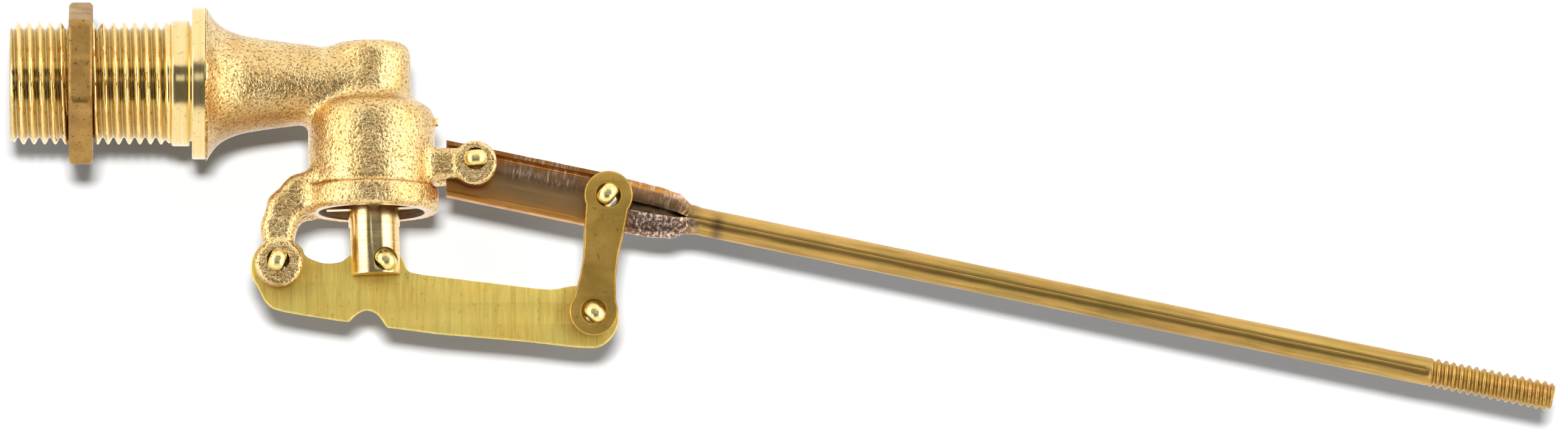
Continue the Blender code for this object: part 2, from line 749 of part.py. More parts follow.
def make_float_arm(group, tools, finish):
    """One strip: open channel at the valve, rolled into a tube, threaded at the tip."""
    keys = arm_sections()
    stations = []
    for (start, a), (end, b) in zip(keys, keys[1:]):
        steps = 1 if a is b else 4 if end - start > 0.001 else 1
        for n in range(steps):
            t = n / steps
            stations.append((start + (end - start) * t, blend_sections(a, b, t)))
    stations.append(keys[-1])
    along = Vector((cos(ARM_DROP), 0, -sin(ARM_DROP)))
    up = Vector((sin(ARM_DROP), 0, cos(ARM_DROP)))
    bm = bmesh.new()
    rings = []
    for n, (reach, section) in enumerate(stations):
        slant = tan(ARM_DROP) if n == 0 else 0
        ring_verts = []
        for y, height in strip_section(section, 14):
            spot = (ARM_PIVOT + along * (reach - height * slant)
                    + up * (height - ARM_AXIS_BELOW) + Vector((0, y, 0)))
            ring_verts.append(bm.verts.new(spot))
        rings.append(ring_verts)
    count = len(rings[0])
    for near, far in zip(rings, rings[1:]):
        for n in range(count):
            m = (n + 1) % count
            bm.faces.new((near[n], near[m], far[m], far[n]))
    bars = count // 2
    for verts, flip in ((rings[0], False), (rings[-1], True)):
        for n in range(bars - 1):
            quad = (verts[n], verts[n + 1], verts[count - 2 - n], verts[count - 1 - n])
            bm.faces.new(quad[::-1] if flip else quad)
    bmesh.ops.recalc_face_normals(bm, faces=bm.faces)
    arm = add_mesh("float_arm", bm, group)
    holes = []
    for name, spot in (("arm_hole", ARM_PIVOT), ("link_hole", LINK_TOP)):
        reach = Vector((0, CHANNEL_DEPTH, 0))
        holes.append(rod_between(name, spot - reach, spot + reach, PIN_HOLE_D, tools))
    boolean(arm, "DIFFERENCE", holes)
    return as_part(arm, "float_arm", finish)


# ---------------------------------------------------------------- split pins
def make_split_pin(name, spot, half_grip, turn, group, tools, finish):
    """Folded pin: eye in front, shank through the joint, two legs bent out behind."""
    front = -half_grip - GAP
    back = half_grip + GAP
    pin = rod_between(name, (0, front - 0.0003, 0), (0, back + 0.0003, 0), PIN_D, group, 16)
    bm = bmesh.new()
    bmesh.ops.create_uvsphere(bm, u_segments=14, v_segments=8, radius=0.5)
    bmesh.ops.scale(bm, verts=bm.verts, vec=(PIN_D + PIN_EYE_OVER, 2 * PIN_EYE_H, PIN_HOLE_D - GAP))
    flat = [v for v in bm.verts if v.co.y > 0]
    for vert in flat:
        vert.co.y = 0
    bmesh.ops.remove_doubles(bm, verts=bm.verts, dist=0.00001)
    bmesh.ops.translate(bm, verts=bm.verts, vec=(0, front, 0))
    joined = [add_mesh(name + "_eye", bm, tools)]
    for side in (-1, 1):
        start = Vector((side * PIN_LEG_D * 0.1, back - 0.0002, 0))
        lean = Vector((side * sin(PIN_LEG_SPREAD), cos(PIN_LEG_SPREAD), 0))
        leg = rod_between(f"{name}_leg_{side}", start, start + lean * PIN_LEG_LEN, PIN_LEG_D, tools, 10)
        joined.append(leg)
    for piece in [pin, *joined]:
        piece.matrix_world = Matrix.Translation(spot) @ Matrix.Rotation(-turn, 4, "Y")
    boolean(pin, "UNION", joined)
    return as_part(pin, name, finish)


def main():
    clear_scene()
    parts = new_collection("float_valve")
    tools = new_collection("cutters")
    cast_brass = metal("cast_brass", (0.80, 0.62, 0.30), 0.45)
    nut_brass = metal("nut_brass", (0.50, 0.33, 0.14), 0.50)
    turned_brass = metal("turned_brass", (0.86, 0.66, 0.28), 0.22)
    sheet_brass = metal("sheet_brass", (0.66, 0.52, 0.20), 0.35)
    link_brass = metal("link_brass", (0.52, 0.43, 0.15), 0.38)
    arm_brass = metal("arm_brass", (0.48, 0.33, 0.12), 0.35)
    pin_brass = metal("pin_brass", (0.85, 0.70, 0.26), 0.20)
    rubber = metal("washer_rubber", (0.03, 0.03, 0.03), 0.70, 0.0)

    make_body(parts, tools, cast_brass)
    make_locknut(parts, tools, nut_brass)
    make_piston(parts, tools, turned_brass)
    make_washer(parts, rubber)
    make_washer_screw(parts, turned_brass)
    make_lever(parts, tools, sheet_brass)
    make_links(parts, link_brass)
    make_float_arm(parts, tools, arm_brass)

    over_arms = LEVER_SIDE + BODY_ARM_T
    over_ears = ARM_SIDE + EAR_T
    over_links = ARM_SIDE + LINK_T
    over_stem = STEM_D / 2
    for name, spot, half_grip, turn in (
        ("fulcrum_pin", FULCRUM, over_arms, radians(68)),
        ("arm_pivot_pin", ARM_PIVOT, over_ears, radians(5)),
        ("upper_link_pin", LINK_TOP, over_links, radians(48)),
        ("lower_link_pin", LINK_FOOT, over_links, radians(-40)),
        ("piston_pin", PISTON_PIVOT, over_stem, radians(-45)),
    ):
        make_split_pin(name, spot, half_grip, turn, parts, tools, pin_brass)


main()
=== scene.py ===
import math

import bmesh
import bpy
import numpy as np
from mathutils import Matrix, Vector, noise


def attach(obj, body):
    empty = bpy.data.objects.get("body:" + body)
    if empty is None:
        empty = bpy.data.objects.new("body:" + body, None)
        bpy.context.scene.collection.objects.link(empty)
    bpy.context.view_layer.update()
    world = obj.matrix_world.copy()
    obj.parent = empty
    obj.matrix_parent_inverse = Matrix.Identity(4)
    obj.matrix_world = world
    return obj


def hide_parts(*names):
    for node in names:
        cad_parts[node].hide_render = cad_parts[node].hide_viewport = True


# Float valve: cast body with a turned inlet, backnut, piston, lever plate, two links, float arm
# and five split pins. Lengths in the dictionaries are millimetres, angles are degrees.

mm = 0.001
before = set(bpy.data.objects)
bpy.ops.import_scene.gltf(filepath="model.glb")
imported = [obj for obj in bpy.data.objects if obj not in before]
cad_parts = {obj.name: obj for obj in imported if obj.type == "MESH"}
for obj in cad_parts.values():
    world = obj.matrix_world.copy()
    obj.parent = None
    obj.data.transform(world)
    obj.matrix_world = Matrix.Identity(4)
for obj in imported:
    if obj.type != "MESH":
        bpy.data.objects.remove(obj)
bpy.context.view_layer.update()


# small tools

def roundMin(a, b, k):  # smooth union of two distance fields, k is the fillet width
    h = np.clip(k - np.abs(a - b), 0, None) / k
    return np.minimum(a, b) - h * h * k / 4


def roundMax(a, b, k):
    return -roundMin(-a, -b, k)


def between(value, low, high):  # 0 at low, 1 at high, eased
    t = min(1, max(0, (value - low) / (high - low)))
    return t * t * (3 - 2 * t)


def splinePoints(points, perSpan):  # Catmull-Rom through the points
    knots = [Vector(p) for p in points]
    padded = [2 * knots[0] - knots[1], *knots, 2 * knots[-1] - knots[-2]]
    out = []
    for n in range(len(knots) - 1):
        a, b, c, d = padded[n:n + 4]
        for step in range(perSpan):
            t = step / perSpan
            out.append(0.5 * (2 * b + (c - a) * t + (2 * a - 5 * b + 4 * c - d) * t ** 2
                              + (3 * b - 3 * c + d - a) * t ** 3))
    return [tuple(p) for p in out] + [tuple(knots[-1])]


def arcPoints(centre, radius, start, end, count):
    angles = [math.radians(start + (end - start) * n / count) for n in range(count + 1)]
    return [(centre[0] + radius * math.cos(a), centre[1] + radius * math.sin(a)) for a in angles]


def holeLoop(centre, radius, count=32):
    return arcPoints(centre, radius, 0, 360 * (count - 1) / count, count - 1)


def meshObject(name, points, faces):  # points in millimetres
    mesh = bpy.data.meshes.new(name)
    mesh.from_pydata([tuple(c * mm for c in p) for p in points], [], faces)
    mesh.validate()
    bm = bmesh.new()
    bm.from_mesh(mesh)
    bmesh.ops.recalc_face_normals(bm, faces=bm.faces)
    bm.to_mesh(mesh)
    bm.free()
    obj = bpy.data.objects.new(name, mesh)
    bpy.context.scene.collection.objects.link(obj)
    return obj


def ringFaces(rings, closedWay):
    count = len(rings[0])
    faces = []
    for r in range(len(rings) if closedWay else len(rings) - 1):
        here = r * count
        there = (r + 1) % len(rings) * count
        for n in range(count):
            m = (n + 1) % count
            faces.append((here + n, here + m, there + m, there + n))
    return faces


def ringMesh(name, rings, closedWay):  # rings of equal length, joined in order
    count = len(rings[0])
    points = [p for ring in rings for p in ring]
    faces = ringFaces(rings, closedWay)
    if not closedWay:
        faces.append(tuple(range(count)))
        faces.append(tuple(range(len(points) - 1, len(points) - 1 - count, -1)))
    return meshObject(name, points, faces)


def turnedRings(stations, segments, along):  # stations are (place, radius or function of angle)
    rings = []
    for place, radius in stations:
        ring = []
        for n in range(segments):
            a = 2 * math.pi * n / segments
            r = radius(a) if callable(radius) else radius
            u, v = r * math.cos(a), r * math.sin(a)
            ring.append((place, u, v) if along == "X" else (u, v, place))
        rings.append(ring)
    return rings


def moveMesh(obj, matrix):
    obj.data.transform(matrix)
    obj.data.update()
    return obj


def cutWith(obj, cutters, operation="DIFFERENCE"):
    for cutter in cutters:
        step = obj.modifiers.new("cut", "BOOLEAN")
        step.operation = operation
        step.solver = "MANIFOLD"
        step.object = cutter
        graph = bpy.context.evaluated_depsgraph_get()
        mesh = bpy.data.meshes.new_from_object(obj.evaluated_get(graph))
        obj.modifiers.clear()
        obj.data = mesh
        bpy.data.objects.remove(cutter)
    return obj


def softShade(obj, angle=35):
    obj.data.shade_smooth()
    obj.data.set_sharp_from_angle(angle=math.radians(angle))


def giveFinish(obj, *materials):
    obj.data.materials.clear()
    for material in materials:
        obj.data.materials.append(material)


def place(obj, body, slot, replaced=()):
    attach(obj, body)
    if replaced:
        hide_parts(*replaced)
    return obj


def helixShape(x, angle, pitch, start):  # thread height from 0 at the root to 1 at the crest
    t = ((x - start) / pitch - angle / (2 * math.pi)) % 1
    flank = (1 - abs(2 * t - 1) - 0.13) / 0.72
    flank = min(1, max(0, flank))
    return 0.55 * flank + 0.45 * flank * flank * (3 - 2 * flank)


# shader groups, built once

def newGroup(name, inputs, outputs):
    group = bpy.data.node_groups.new(name, "ShaderNodeTree")
    for label, kind, value in inputs:
        socket = group.interface.new_socket(label, in_out="INPUT", socket_type=kind)
        socket.default_value = value
    for label, kind in outputs:
        group.interface.new_socket(label, in_out="OUTPUT", socket_type=kind)
    nodes = group.nodes
    return group, nodes.new("NodeGroupInput"), nodes.new("NodeGroupOutput")


def addNode(tree, kind, **settings):
    node = tree.nodes.new(kind)
    for key, value in settings.items():
        setattr(node, key, value)
    return node


def mathNode(tree, operation, a, b=None):
    node = addNode(tree, "ShaderNodeMath", operation=operation)
    for socket, value in zip(node.inputs, (a, b)):
        if value is None:
            continue
        if isinstance(value, (int, float)):
            socket.default_value = value
        else:
            tree.links.new(value, socket)
    return node.outputs[0]


def noiseNode(tree, coords, scale, detail=2, roughness=0.5):
    node = addNode(tree, "ShaderNodeTexNoise")
    tree.links.new(coords, node.inputs["Vector"])
    if isinstance(scale, (int, float)):
        node.inputs["Scale"].default_value = scale
    else:
        tree.links.new(scale, node.inputs["Scale"])
    node.inputs["Detail"].default_value = detail
    node.inputs["Roughness"].default_value = roughness
    return node.outputs["Fac"]


def spread(tree, value, low, high, outLow=0.0, outHigh=1.0):
    node = addNode(tree, "ShaderNodeMapRange")
    tree.links.new(value, node.inputs["Value"])
    for label, number in (("From Min", low), ("From Max", high), ("To Min", outLow), ("To Max", outHigh)):
        node.inputs[label].default_value = number
    return node.outputs["Result"]


def objectCoords(tree):
    return addNode(tree, "ShaderNodeTexCoord").outputs["Object"]


def partsOf(tree, vector):  # the outputs X, Y and Z
    node = addNode(tree, "ShaderNodeSeparateXYZ")
    tree.links.new(vector, node.inputs[0])
    return node.outputs


def stretched(tree, coords, factors):
    node = addNode(tree, "ShaderNodeMapping")
    tree.links.new(coords, node.inputs["Vector"])
    node.inputs["Scale"].default_value = factors
    return node.outputs["Vector"]


def makeBlastGroup():  # shot-blasted sand casting: pits, grains and a slow mottle
    group, ins, outs = newGroup(
        "blastedSkin",
        [("Grain Scale", "NodeSocketFloat", 2600.0), ("Mottle Scale", "NodeSocketFloat", 260.0)],
        [("Height", "NodeSocketFloat"), ("Pits", "NodeSocketFloat"), ("Mottle", "NodeSocketFloat")],
    )
    coords = objectCoords(group)
    grain = noiseNode(group, coords, ins.outputs["Grain Scale"], 3, 0.6)
    half = mathNode(group, "MULTIPLY", ins.outputs["Grain Scale"], 0.43)
    lumps = noiseNode(group, coords, half, 2)
    height = mathNode(group, "ADD", mathNode(group, "MULTIPLY", lumps, 0.9), grain)
    group.links.new(height, outs.inputs["Height"])
    group.links.new(spread(group, grain, 0.34, 0.50, 1, 0), outs.inputs["Pits"])
    mottle = noiseNode(group, coords, ins.outputs["Mottle Scale"], 3)
    group.links.new(mottle, outs.inputs["Mottle"])
    return group


def makeBrushGroup():  # fine parallel scratches; the stretch is given by the material's own mapping
    group, ins, outs = newGroup(
        "brushedGrain",
        [("Vector", "NodeSocketVector", (0, 0, 0)), ("Scale", "NodeSocketFloat", 900.0)],
        [("Height", "NodeSocketFloat"), ("Streaks", "NodeSocketFloat")],
    )
    fine = noiseNode(group, ins.outputs["Vector"], ins.outputs["Scale"], 4, 0.65)
    third = mathNode(group, "MULTIPLY", ins.outputs["Scale"], 0.3)
    broad = noiseNode(group, ins.outputs["Vector"], third, 2)
    both = mathNode(group, "ADD", mathNode(group, "MULTIPLY", broad, 0.6), fine)
    group.links.new(both, outs.inputs["Height"])
    group.links.new(spread(group, both, 0.62, 1.0), outs.inputs["Streaks"])
    return group


def makeTarnishGroup():  # uneven darkening with small spots
    group, ins, outs = newGroup(
        "tarnish",
        [("Patch Scale", "NodeSocketFloat", 180.0), ("Spot Scale", "NodeSocketFloat", 900.0)],
        [("Patches", "NodeSocketFloat"), ("Spots", "NodeSocketFloat")],
    )
    coords = objectCoords(group)
    patches = noiseNode(group, coords, ins.outputs["Patch Scale"], 4, 0.6)
    group.links.new(spread(group, patches, 0.35, 0.68), outs.inputs["Patches"])
    spots = noiseNode(group, coords, ins.outputs["Spot Scale"], 2)
    group.links.new(spread(group, spots, 0.62, 0.72), outs.inputs["Spots"])
    return group


blastGroup = makeBlastGroup()
brushGroup = makeBrushGroup()
tarnishGroup = makeTarnishGroup()


def newMaterial(name, roughness, metallic=1.0):
    made = bpy.data.materials.new(name)
    made.use_nodes = True
    shader = made.node_tree.nodes["Principled BSDF"]
    shader.inputs["Metallic"].default_value = metallic
    shader.inputs["Roughness"].default_value = roughness
    return made, made.node_tree, shader


def placeGroup(tree, group, **values):
    node = addNode(tree, "ShaderNodeGroup", node_tree=group)
    for label, value in values.items():
        node.inputs[label.replace("_", " ")].default_value = value
    return node


def placeBrush(tree, coords, scale):
    node = placeGroup(tree, brushGroup, Scale=scale)
    tree.links.new(coords, node.inputs["Vector"])
    return node


def mixColours(tree, factor, a, b):
    node = addNode(tree, "ShaderNodeMix", data_type="RGBA")
    if isinstance(factor, (int, float)):
        node.inputs["Factor"].default_value = factor
    else:
        tree.links.new(factor, node.inputs["Factor"])
    for label, colour in (("A", a), ("B", b)):
        socket = [s for s in node.inputs if s.name == label and s.type == "RGBA"][0]
        if isinstance(colour, tuple):
            socket.default_value = (*colour, 1)
        else:
            tree.links.new(colour, socket)
    return [s for s in node.outputs if s.type == "RGBA"][0]


def finishSurface(tree, shader, colour, rough):
    tree.links.new(colour, shader.inputs["Base Color"])
    tree.links.new(rough, shader.inputs["Roughness"])


def addBump(tree, shader, height, strength, depth):  # depth in millimetres
    bump = addNode(tree, "ShaderNodeBump")
    bump.inputs["Strength"].default_value = strength
    bump.inputs["Distance"].default_value = depth * mm
    tree.links.new(height, bump.inputs["Height"])
    tree.links.new(bump.outputs["Normal"], shader.inputs["Normal"])


def makeCastBrass():
    look = dict(
        # under is painted shade for the neck's downward-facing underside
        light=(0.96, 0.71, 0.34), deep=(0.80, 0.53, 0.21), pit=(0.30, 0.17, 0.05), under=(0.52, 0.31, 0.11),
        grain=2300, mottle=240, neckEnd=(0.021, 0.015), bump=0.16,
    )
    made, tree, shader = newMaterial("castBrass", 0.25)
    skin = placeGroup(tree, blastGroup, Grain_Scale=look["grain"], Mottle_Scale=look["mottle"])
    mottle = spread(tree, skin.outputs["Mottle"], 0.35, 0.65)
    base = mixColours(tree, mottle, look["light"], look["deep"])
    facing = partsOf(tree, addNode(tree, "ShaderNodeNewGeometry").outputs["Normal"])
    where = partsOf(tree, objectCoords(tree))
    below = mathNode(tree, "MULTIPLY", spread(tree, facing["Z"], -0.3, -0.85),
                     spread(tree, where["X"], *look["neckEnd"]))
    base = mixColours(tree, below, base, look["under"])  # painted shade: the neck's downward-facing underside is darkened to brown
    colour = mixColours(tree, skin.outputs["Pits"], base, look["pit"])
    finishSurface(tree, shader, colour, spread(tree, skin.outputs["Pits"], 0, 1, 0.16, 0.32))
    addBump(tree, shader, skin.outputs["Height"], 1.0, look["bump"])
    return made


def makeTurnedBrass(name, light, deep, along, roughness, rootShade=None):
    made, tree, shader = newMaterial(name, roughness)
    factors = {"X": (1, 0.02, 0.02), "Z": (0.02, 0.02, 1)}[along]
    coords = stretched(tree, objectCoords(tree), factors)
    brush = placeBrush(tree, coords, 5200)
    stain = placeGroup(tree, tarnishGroup, Patch_Scale=210, Spot_Scale=1500)
    base = mixColours(tree, brush.outputs["Streaks"], deep, light)
    dull = tuple(c * 0.72 for c in deep)
    tint = mixColours(tree, mathNode(tree, "MULTIPLY", stain.outputs["Spots"], 0.7), base, dull)
    if rootShade:  # painted shade, darker towards the thread roots
        flat = stretched(tree, objectCoords(tree), (0, 1, 1))
        size = addNode(tree, "ShaderNodeVectorMath", operation="LENGTH")
        tree.links.new(flat, size.inputs[0])
        dark = spread(tree, size.outputs["Value"], rootShade["crest"] * mm, rootShade["root"] * mm, 0, rootShade["amount"])
        tint = mixColours(tree, dark, tint, rootShade["colour"])
    finishSurface(tree, shader, tint, spread(tree, stain.outputs["Patches"], 0, 1, roughness, roughness + 0.12))
    addBump(tree, shader, brush.outputs["Height"], 0.25, 0.02)
    return made


def makeNutBrass():
    look = dict(light=(0.50, 0.29, 0.085), deep=(0.38, 0.21, 0.06), spot=(0.20, 0.11, 0.04))
    made, tree, shader = newMaterial("nutBrass", 0.42)
    stain = placeGroup(tree, tarnishGroup, Patch_Scale=260, Spot_Scale=1700)
    skin = placeGroup(tree, blastGroup, Grain_Scale=3200, Mottle_Scale=500)
    base = mixColours(tree, stain.outputs["Patches"], look["light"], look["deep"])
    colour = mixColours(tree, stain.outputs["Spots"], base, look["spot"])
    finishSurface(tree, shader, colour, spread(tree, stain.outputs["Patches"], 0, 1, 0.36, 0.52))
    addBump(tree, shader, skin.outputs["Height"], 0.35, 0.05)
    return made


def makePlateBrass(name, light, deep, streak, roughness, grainAlong):
    made, tree, shader = newMaterial(name, roughness)
    coords = stretched(tree, objectCoords(tree), grainAlong)
    brush = placeBrush(tree, coords, 2600)
    stain = placeGroup(tree, tarnishGroup, Patch_Scale=150, Spot_Scale=1100)
    base = mixColours(tree, stain.outputs["Patches"], light, deep)
    factor = mathNode(tree, "MULTIPLY", brush.outputs["Streaks"], streak)
    dark = tuple(c * 0.45 for c in deep)
    lined = mixColours(tree, factor, base, dark)
    colour = mixColours(tree, mathNode(tree, "MULTIPLY", stain.outputs["Spots"], 0.5), lined, dark)
    finishSurface(tree, shader, colour, spread(tree, brush.outputs["Streaks"], 0, 1, roughness, roughness + 0.14))
    addBump(tree, shader, brush.outputs["Height"], 0.35, 0.03)
    return made


def makeRubber():
    made, tree, shader = newMaterial("washerRubber", 0.62, 0.0)
    stain = placeGroup(tree, tarnishGroup, Patch_Scale=300, Spot_Scale=2400)
    colour = mixColours(tree, stain.outputs["Patches"], (0.018, 0.018, 0.019), (0.045, 0.042, 0.040))
    tree.links.new(colour, shader.inputs["Base Color"])
    skin = placeGroup(tree, blastGroup, Grain_Scale=5200, Mottle_Scale=600)
    addBump(tree, shader, skin.outputs["Height"], 0.2, 0.02)
    return made


# painted shade in the thread roots: the colour darkens from the crest radius to the root radius
threadRootShade = dict(crest=10.2, root=9.35, amount=0.5, colour=(0.20, 0.11, 0.03))  # radii from the inlet's axis
castBrass = makeCastBrass()
inletBrass = makeTurnedBrass("inletBrass", (0.96, 0.76, 0.37), (0.84, 0.62, 0.26), "X", 0.12, threadRootShade)
stemBrass = makeTurnedBrass("stemBrass", (0.97, 0.80, 0.46), (0.86, 0.60, 0.24), "Z", 0.13)
faceBrass = makeTurnedBrass("faceBrass", (0.98, 0.80, 0.66), (0.90, 0.66, 0.50), "Z", 0.3)
# painted shade: near-black brass for the inside of the outlet bore
boreShadowBrass = makeTurnedBrass("boreShadowBrass", (0.20, 0.12, 0.06), (0.08, 0.045, 0.02), "Z", 0.4)
nutBrass = makeNutBrass()
leverBrass = makePlateBrass("leverBrass", (1.0, 0.81, 0.23), (1.0, 0.74, 0.18), 0.46, 0.56, (1, 1, 0.06))
linkBrass = makePlateBrass("linkBrass", (0.74, 0.47, 0.11), (0.46, 0.28, 0.06), 0.25, 0.40, (1, 1, 0.5))
pinBrass = makePlateBrass("pinBrass", (1.0, 0.86, 0.40), (0.95, 0.76, 0.28), 0.12, 0.24, (1, 1, 1))
washerRubber = makeRubber()


# cast body: one distance field, turned into a surface and then machined

casting = dict(
    neckEndR=9.3, neckTaper=0.125, neckDrop=0.2, neckBoreR=5.0, flareR=3.8, flareLength=2.2, flareStart=2.7,
    flangeT=2.6, towerX=30.8, bossR=6.72, bossTop=6.9, bossEdge=2.3, shoulderZ=-2.73, shoulderSlope=0.49,
    chamberR=10.87, chamberTop=-1.5, chamberBottom=-22.5, beadR=11.72, beadTop=-17.9, beadEdge=1.2,
    grooveR=11.3, grooveTube=0.55, boreR=8.85, ringR=10.7, roofZ=-7.8, seatZ=-9.3, seatLipR=4.6, orificeR=3.2,
    fulcrum=(14.9, -31.9), armEyeR=4.1, armInner=1.25, armThick=4.0, armSlotEnd=19.6, armSlotTop=-14,
    armBend=[(23.5, -18.4, 3.6), (18.7, -19.7, 3.2), (15.9, -22.1, 2.85), (14.8, -25.4, 2.7)], armFootHalf=2.6,
    earPivot=(48.5, -14.55), earEyeR=3.8, earInner=2.0, earThick=3.6, earNeckHalf=2.75, earRoot=38.0,
    earSlotEnd=42.2, nub=(42.1, -0.8, -6.9), nubR=0.7,
    fulcrumHole=(14.75, -31.45), earHole=(48.6, -13.95), pinHoleR=1.95, farHoleR=1.3,
    low=(1.6, -14.2, -37.2), high=(53.6, 14.2, 14.2), voxel=0.27, fine=0.03, coarse=0.05,
)


def turnedBlock(r, z, radius, top, bottom, edge):  # distance to a cylinder with rounded ends
    qx = r - (radius - edge)
    qz = np.maximum(z - (top - edge), (bottom + edge) - z)
    outside = np.hypot(np.maximum(qx, 0), np.maximum(qz, 0))
    return np.minimum(np.maximum(qx, qz), 0) + outside - edge


def slab(flat, depth, near, thick, edge):  # a flat shape given depth, with rounded edges
    w = np.abs(depth - (near + thick / 2)) - (thick / 2 - edge)
    q = flat + edge
    outside = np.hypot(np.maximum(q, 0), np.maximum(w, 0))
    return np.minimum(np.maximum(q, w), 0) + outside - edge


def chainDistance(x, z, chain, k):  # polyline of (x, z, half width)
    whole = None
    for (ax, az, ar), (bx, bz, br) in zip(chain, chain[1:]):
        dx, dz = bx - ax, bz - az
        t = np.clip(((x - ax) * dx + (z - az) * dz) / (dx * dx + dz * dz), 0, 1)
        d = np.hypot(x - ax - t * dx, z - az - t * dz) - (ar + (br - ar) * t)
        whole = d if whole is None else roundMin(whole, d, k)
    return whole


def castingField(x, y, z):
    c = casting
    side = np.abs(y)
    flare = c["flareR"] * np.exp(-(x - c["flareStart"]) / c["flareLength"])
    neckR = c["neckEndR"] - c["neckTaper"] * x + flare
    neck = np.maximum(np.hypot(y, z + c["neckDrop"]) - neckR, x - c["towerX"])
    r = np.hypot(x - c["towerX"], y)
    boss = turnedBlock(r, z, c["bossR"], c["bossTop"], -12, c["bossEdge"])
    slope = c["shoulderSlope"]
    shoulder = (z - c["shoulderZ"] + slope * (r - c["bossR"])) / math.hypot(1, slope)
    chamber = turnedBlock(r, z, c["chamberR"], c["chamberTop"], c["chamberBottom"] - 0.03, 0.4)
    chamber = roundMax(chamber, shoulder, 2.0)
    bead = turnedBlock(r, z, c["beadR"], c["beadTop"], c["chamberBottom"] - 0.03, c["beadEdge"])
    eyeX, eyeZ = c["fulcrum"]
    bend = [*c["armBend"], (eyeX, eyeZ, c["armFootHalf"])]
    strap = slab(chainDistance(x, z, bend, 1.2), side, c["armInner"], c["armThick"] - 0.2, 1.7)
    eye = slab(np.hypot(x - eyeX, z - eyeZ) - c["armEyeR"], side, c["armInner"], c["armThick"], 0.9)
    earX, earZ = c["earPivot"]
    reach = [(c["earRoot"], earZ, c["earNeckHalf"]), (earX, earZ, c["earNeckHalf"] - 0.2)]
    ear = slab(chainDistance(x, z, reach, 1.0), side, c["earInner"], c["earThick"] - 0.3, 1.3)
    earEye = slab(np.hypot(x - earX, z - earZ) - c["earEyeR"], side, c["earInner"], c["earThick"], 0.8)
    groove = np.hypot(r - c["grooveR"], z - c["beadTop"]) - c["grooveTube"]
    nubX, nubY, nubZ = c["nub"]
    nub = np.sqrt((x - nubX) ** 2 + (y - nubY) ** 2 + (z - nubZ) ** 2) - c["nubR"]
    whole = roundMin(neck, boss, 2.6)
    whole = roundMin(whole, chamber, 1.9)
    whole = roundMax(roundMin(whole, bead, 0.3), -groove, 0.3)
    whole = roundMin(whole, roundMin(strap, eye, 0.8), 2.2)
    whole = roundMin(whole, roundMin(ear, earEye, 0.6), 1.6)
    whole = roundMin(whole, nub, 0.6)
    armSlot = np.maximum(np.maximum(side - c["armInner"], x - c["armSlotEnd"]), z - c["armSlotTop"])
    earSlot = np.maximum(side - c["earInner"], c["earSlotEnd"] - x)
    whole = np.maximum(np.maximum(whole, -armSlot), -earSlot)
    return np.maximum(whole, (c["flangeT"] - 0.2) - x)


def surfaceNet(field, low, high, step):  # quads where the field changes sign on a grid
    axes = [np.arange(low[n], high[n] + step, step) for n in range(3)]
    grid = np.meshgrid(*axes, indexing="ij")
    values = field(*grid)
    inside = values < 0
    size = np.array(values.shape) - 1
    total = np.zeros((*size, 3))
    hits = np.zeros(size)
    cell = [slice(0, size[n]) for n in range(3)]

    def corner(array, offset):
        return array[tuple(slice(offset[n], offset[n] + size[n]) for n in range(3))]

    corners = [(i, j, k) for i in (0, 1) for j in (0, 1) for k in (0, 1)]
    for a in corners:
        for n in range(3):
            if a[n]:
                continue
            b = tuple(v + (1 if m == n else 0) for m, v in enumerate(a))
            va, vb = corner(values, a), corner(values, b)
            crossed = corner(inside, a) != corner(inside, b)
            t = np.where(crossed, va / np.where(va == vb, 1, va - vb), 0)
            for m in range(3):
                total[..., m] += np.where(crossed, a[m] + (t if m == n else 0), 0)
            hits += crossed
    used = hits > 0
    index = -np.ones(size, int)
    index[used] = np.arange(used.sum())
    base = np.stack(np.nonzero(used), axis=1)
    points = (base + total[used] / hits[used][:, None]) * step + np.array(low)
    faces = []
    for n in range(3):
        u, v = (n + 1) % 3, (n + 2) % 3
        ahead = [slice(None)] * 3
        here = [slice(None)] * 3
        ahead[n], here[n] = slice(1, None), slice(0, -1)
        a, b = inside[tuple(here)], inside[tuple(ahead)]
        for flip in (False, True):
            found = np.stack(np.nonzero((a & ~b) if flip else (~a & b)), axis=1)
            found = found[(found[:, u] > 0) & (found[:, v] > 0)]
            found = found[(found[:, u] < size[u]) & (found[:, v] < size[v])]
            quad = []
            for du, dv in ((-1, -1), (0, -1), (0, 0), (-1, 0)):
                spot = found.copy()
                spot[:, u] += du
                spot[:, v] += dv
                quad.append(index[spot[:, 0], spot[:, 1], spot[:, 2]])
            quad = np.stack(quad, axis=1)
            faces.append(quad if flip else quad[:, ::-1])
    return points, np.concatenate(faces)


def slopeAt(points, field, e):
    steps = e * np.eye(3)
    return np.stack([field(*(points + step).T) - field(*(points - step).T) for step in steps], axis=1)


def settle(points, field):  # move the points onto the field's zero surface
    e = 0.02
    for _ in range(2):
        value = field(*points.T)
        slope = slopeAt(points, field, e) / (2 * e)
        length = np.clip((slope ** 2).sum(axis=1), 0.2, None)
        points = points - np.clip(value / length, -0.3, 0.3)[:, None] * slope
    return points


def castLump(point):  # sand-cast unevenness
    v = Vector(point)
    return casting["fine"] * noise.noise(v * 1.9) + casting["coarse"] * noise.noise(v * 0.42 + Vector((7, 3, 1)))


def plugX(radius, start, end):  # cutter along X
    return ringMesh("cutter", turnedRings([(start, radius), (end, radius)], 48, "X"), False)


def plugY(radius, x, z, near, far):  # cutter along Y
    circle = holeLoop((x, z), radius, 40)
    return ringMesh("cutter", [[(px, y, pz) for px, pz in circle] for y in (near, far)], False)


def towerRings(stations, sides):  # rings about the seat's upright axis
    rings = turnedRings(stations, sides, "Z")
    return [[(x + casting["towerX"], y, z) for x, y, z in ring] for ring in rings]


def plugZ(stations, sides=96):
    return ringMesh("cutter", towerRings(stations, sides), False)


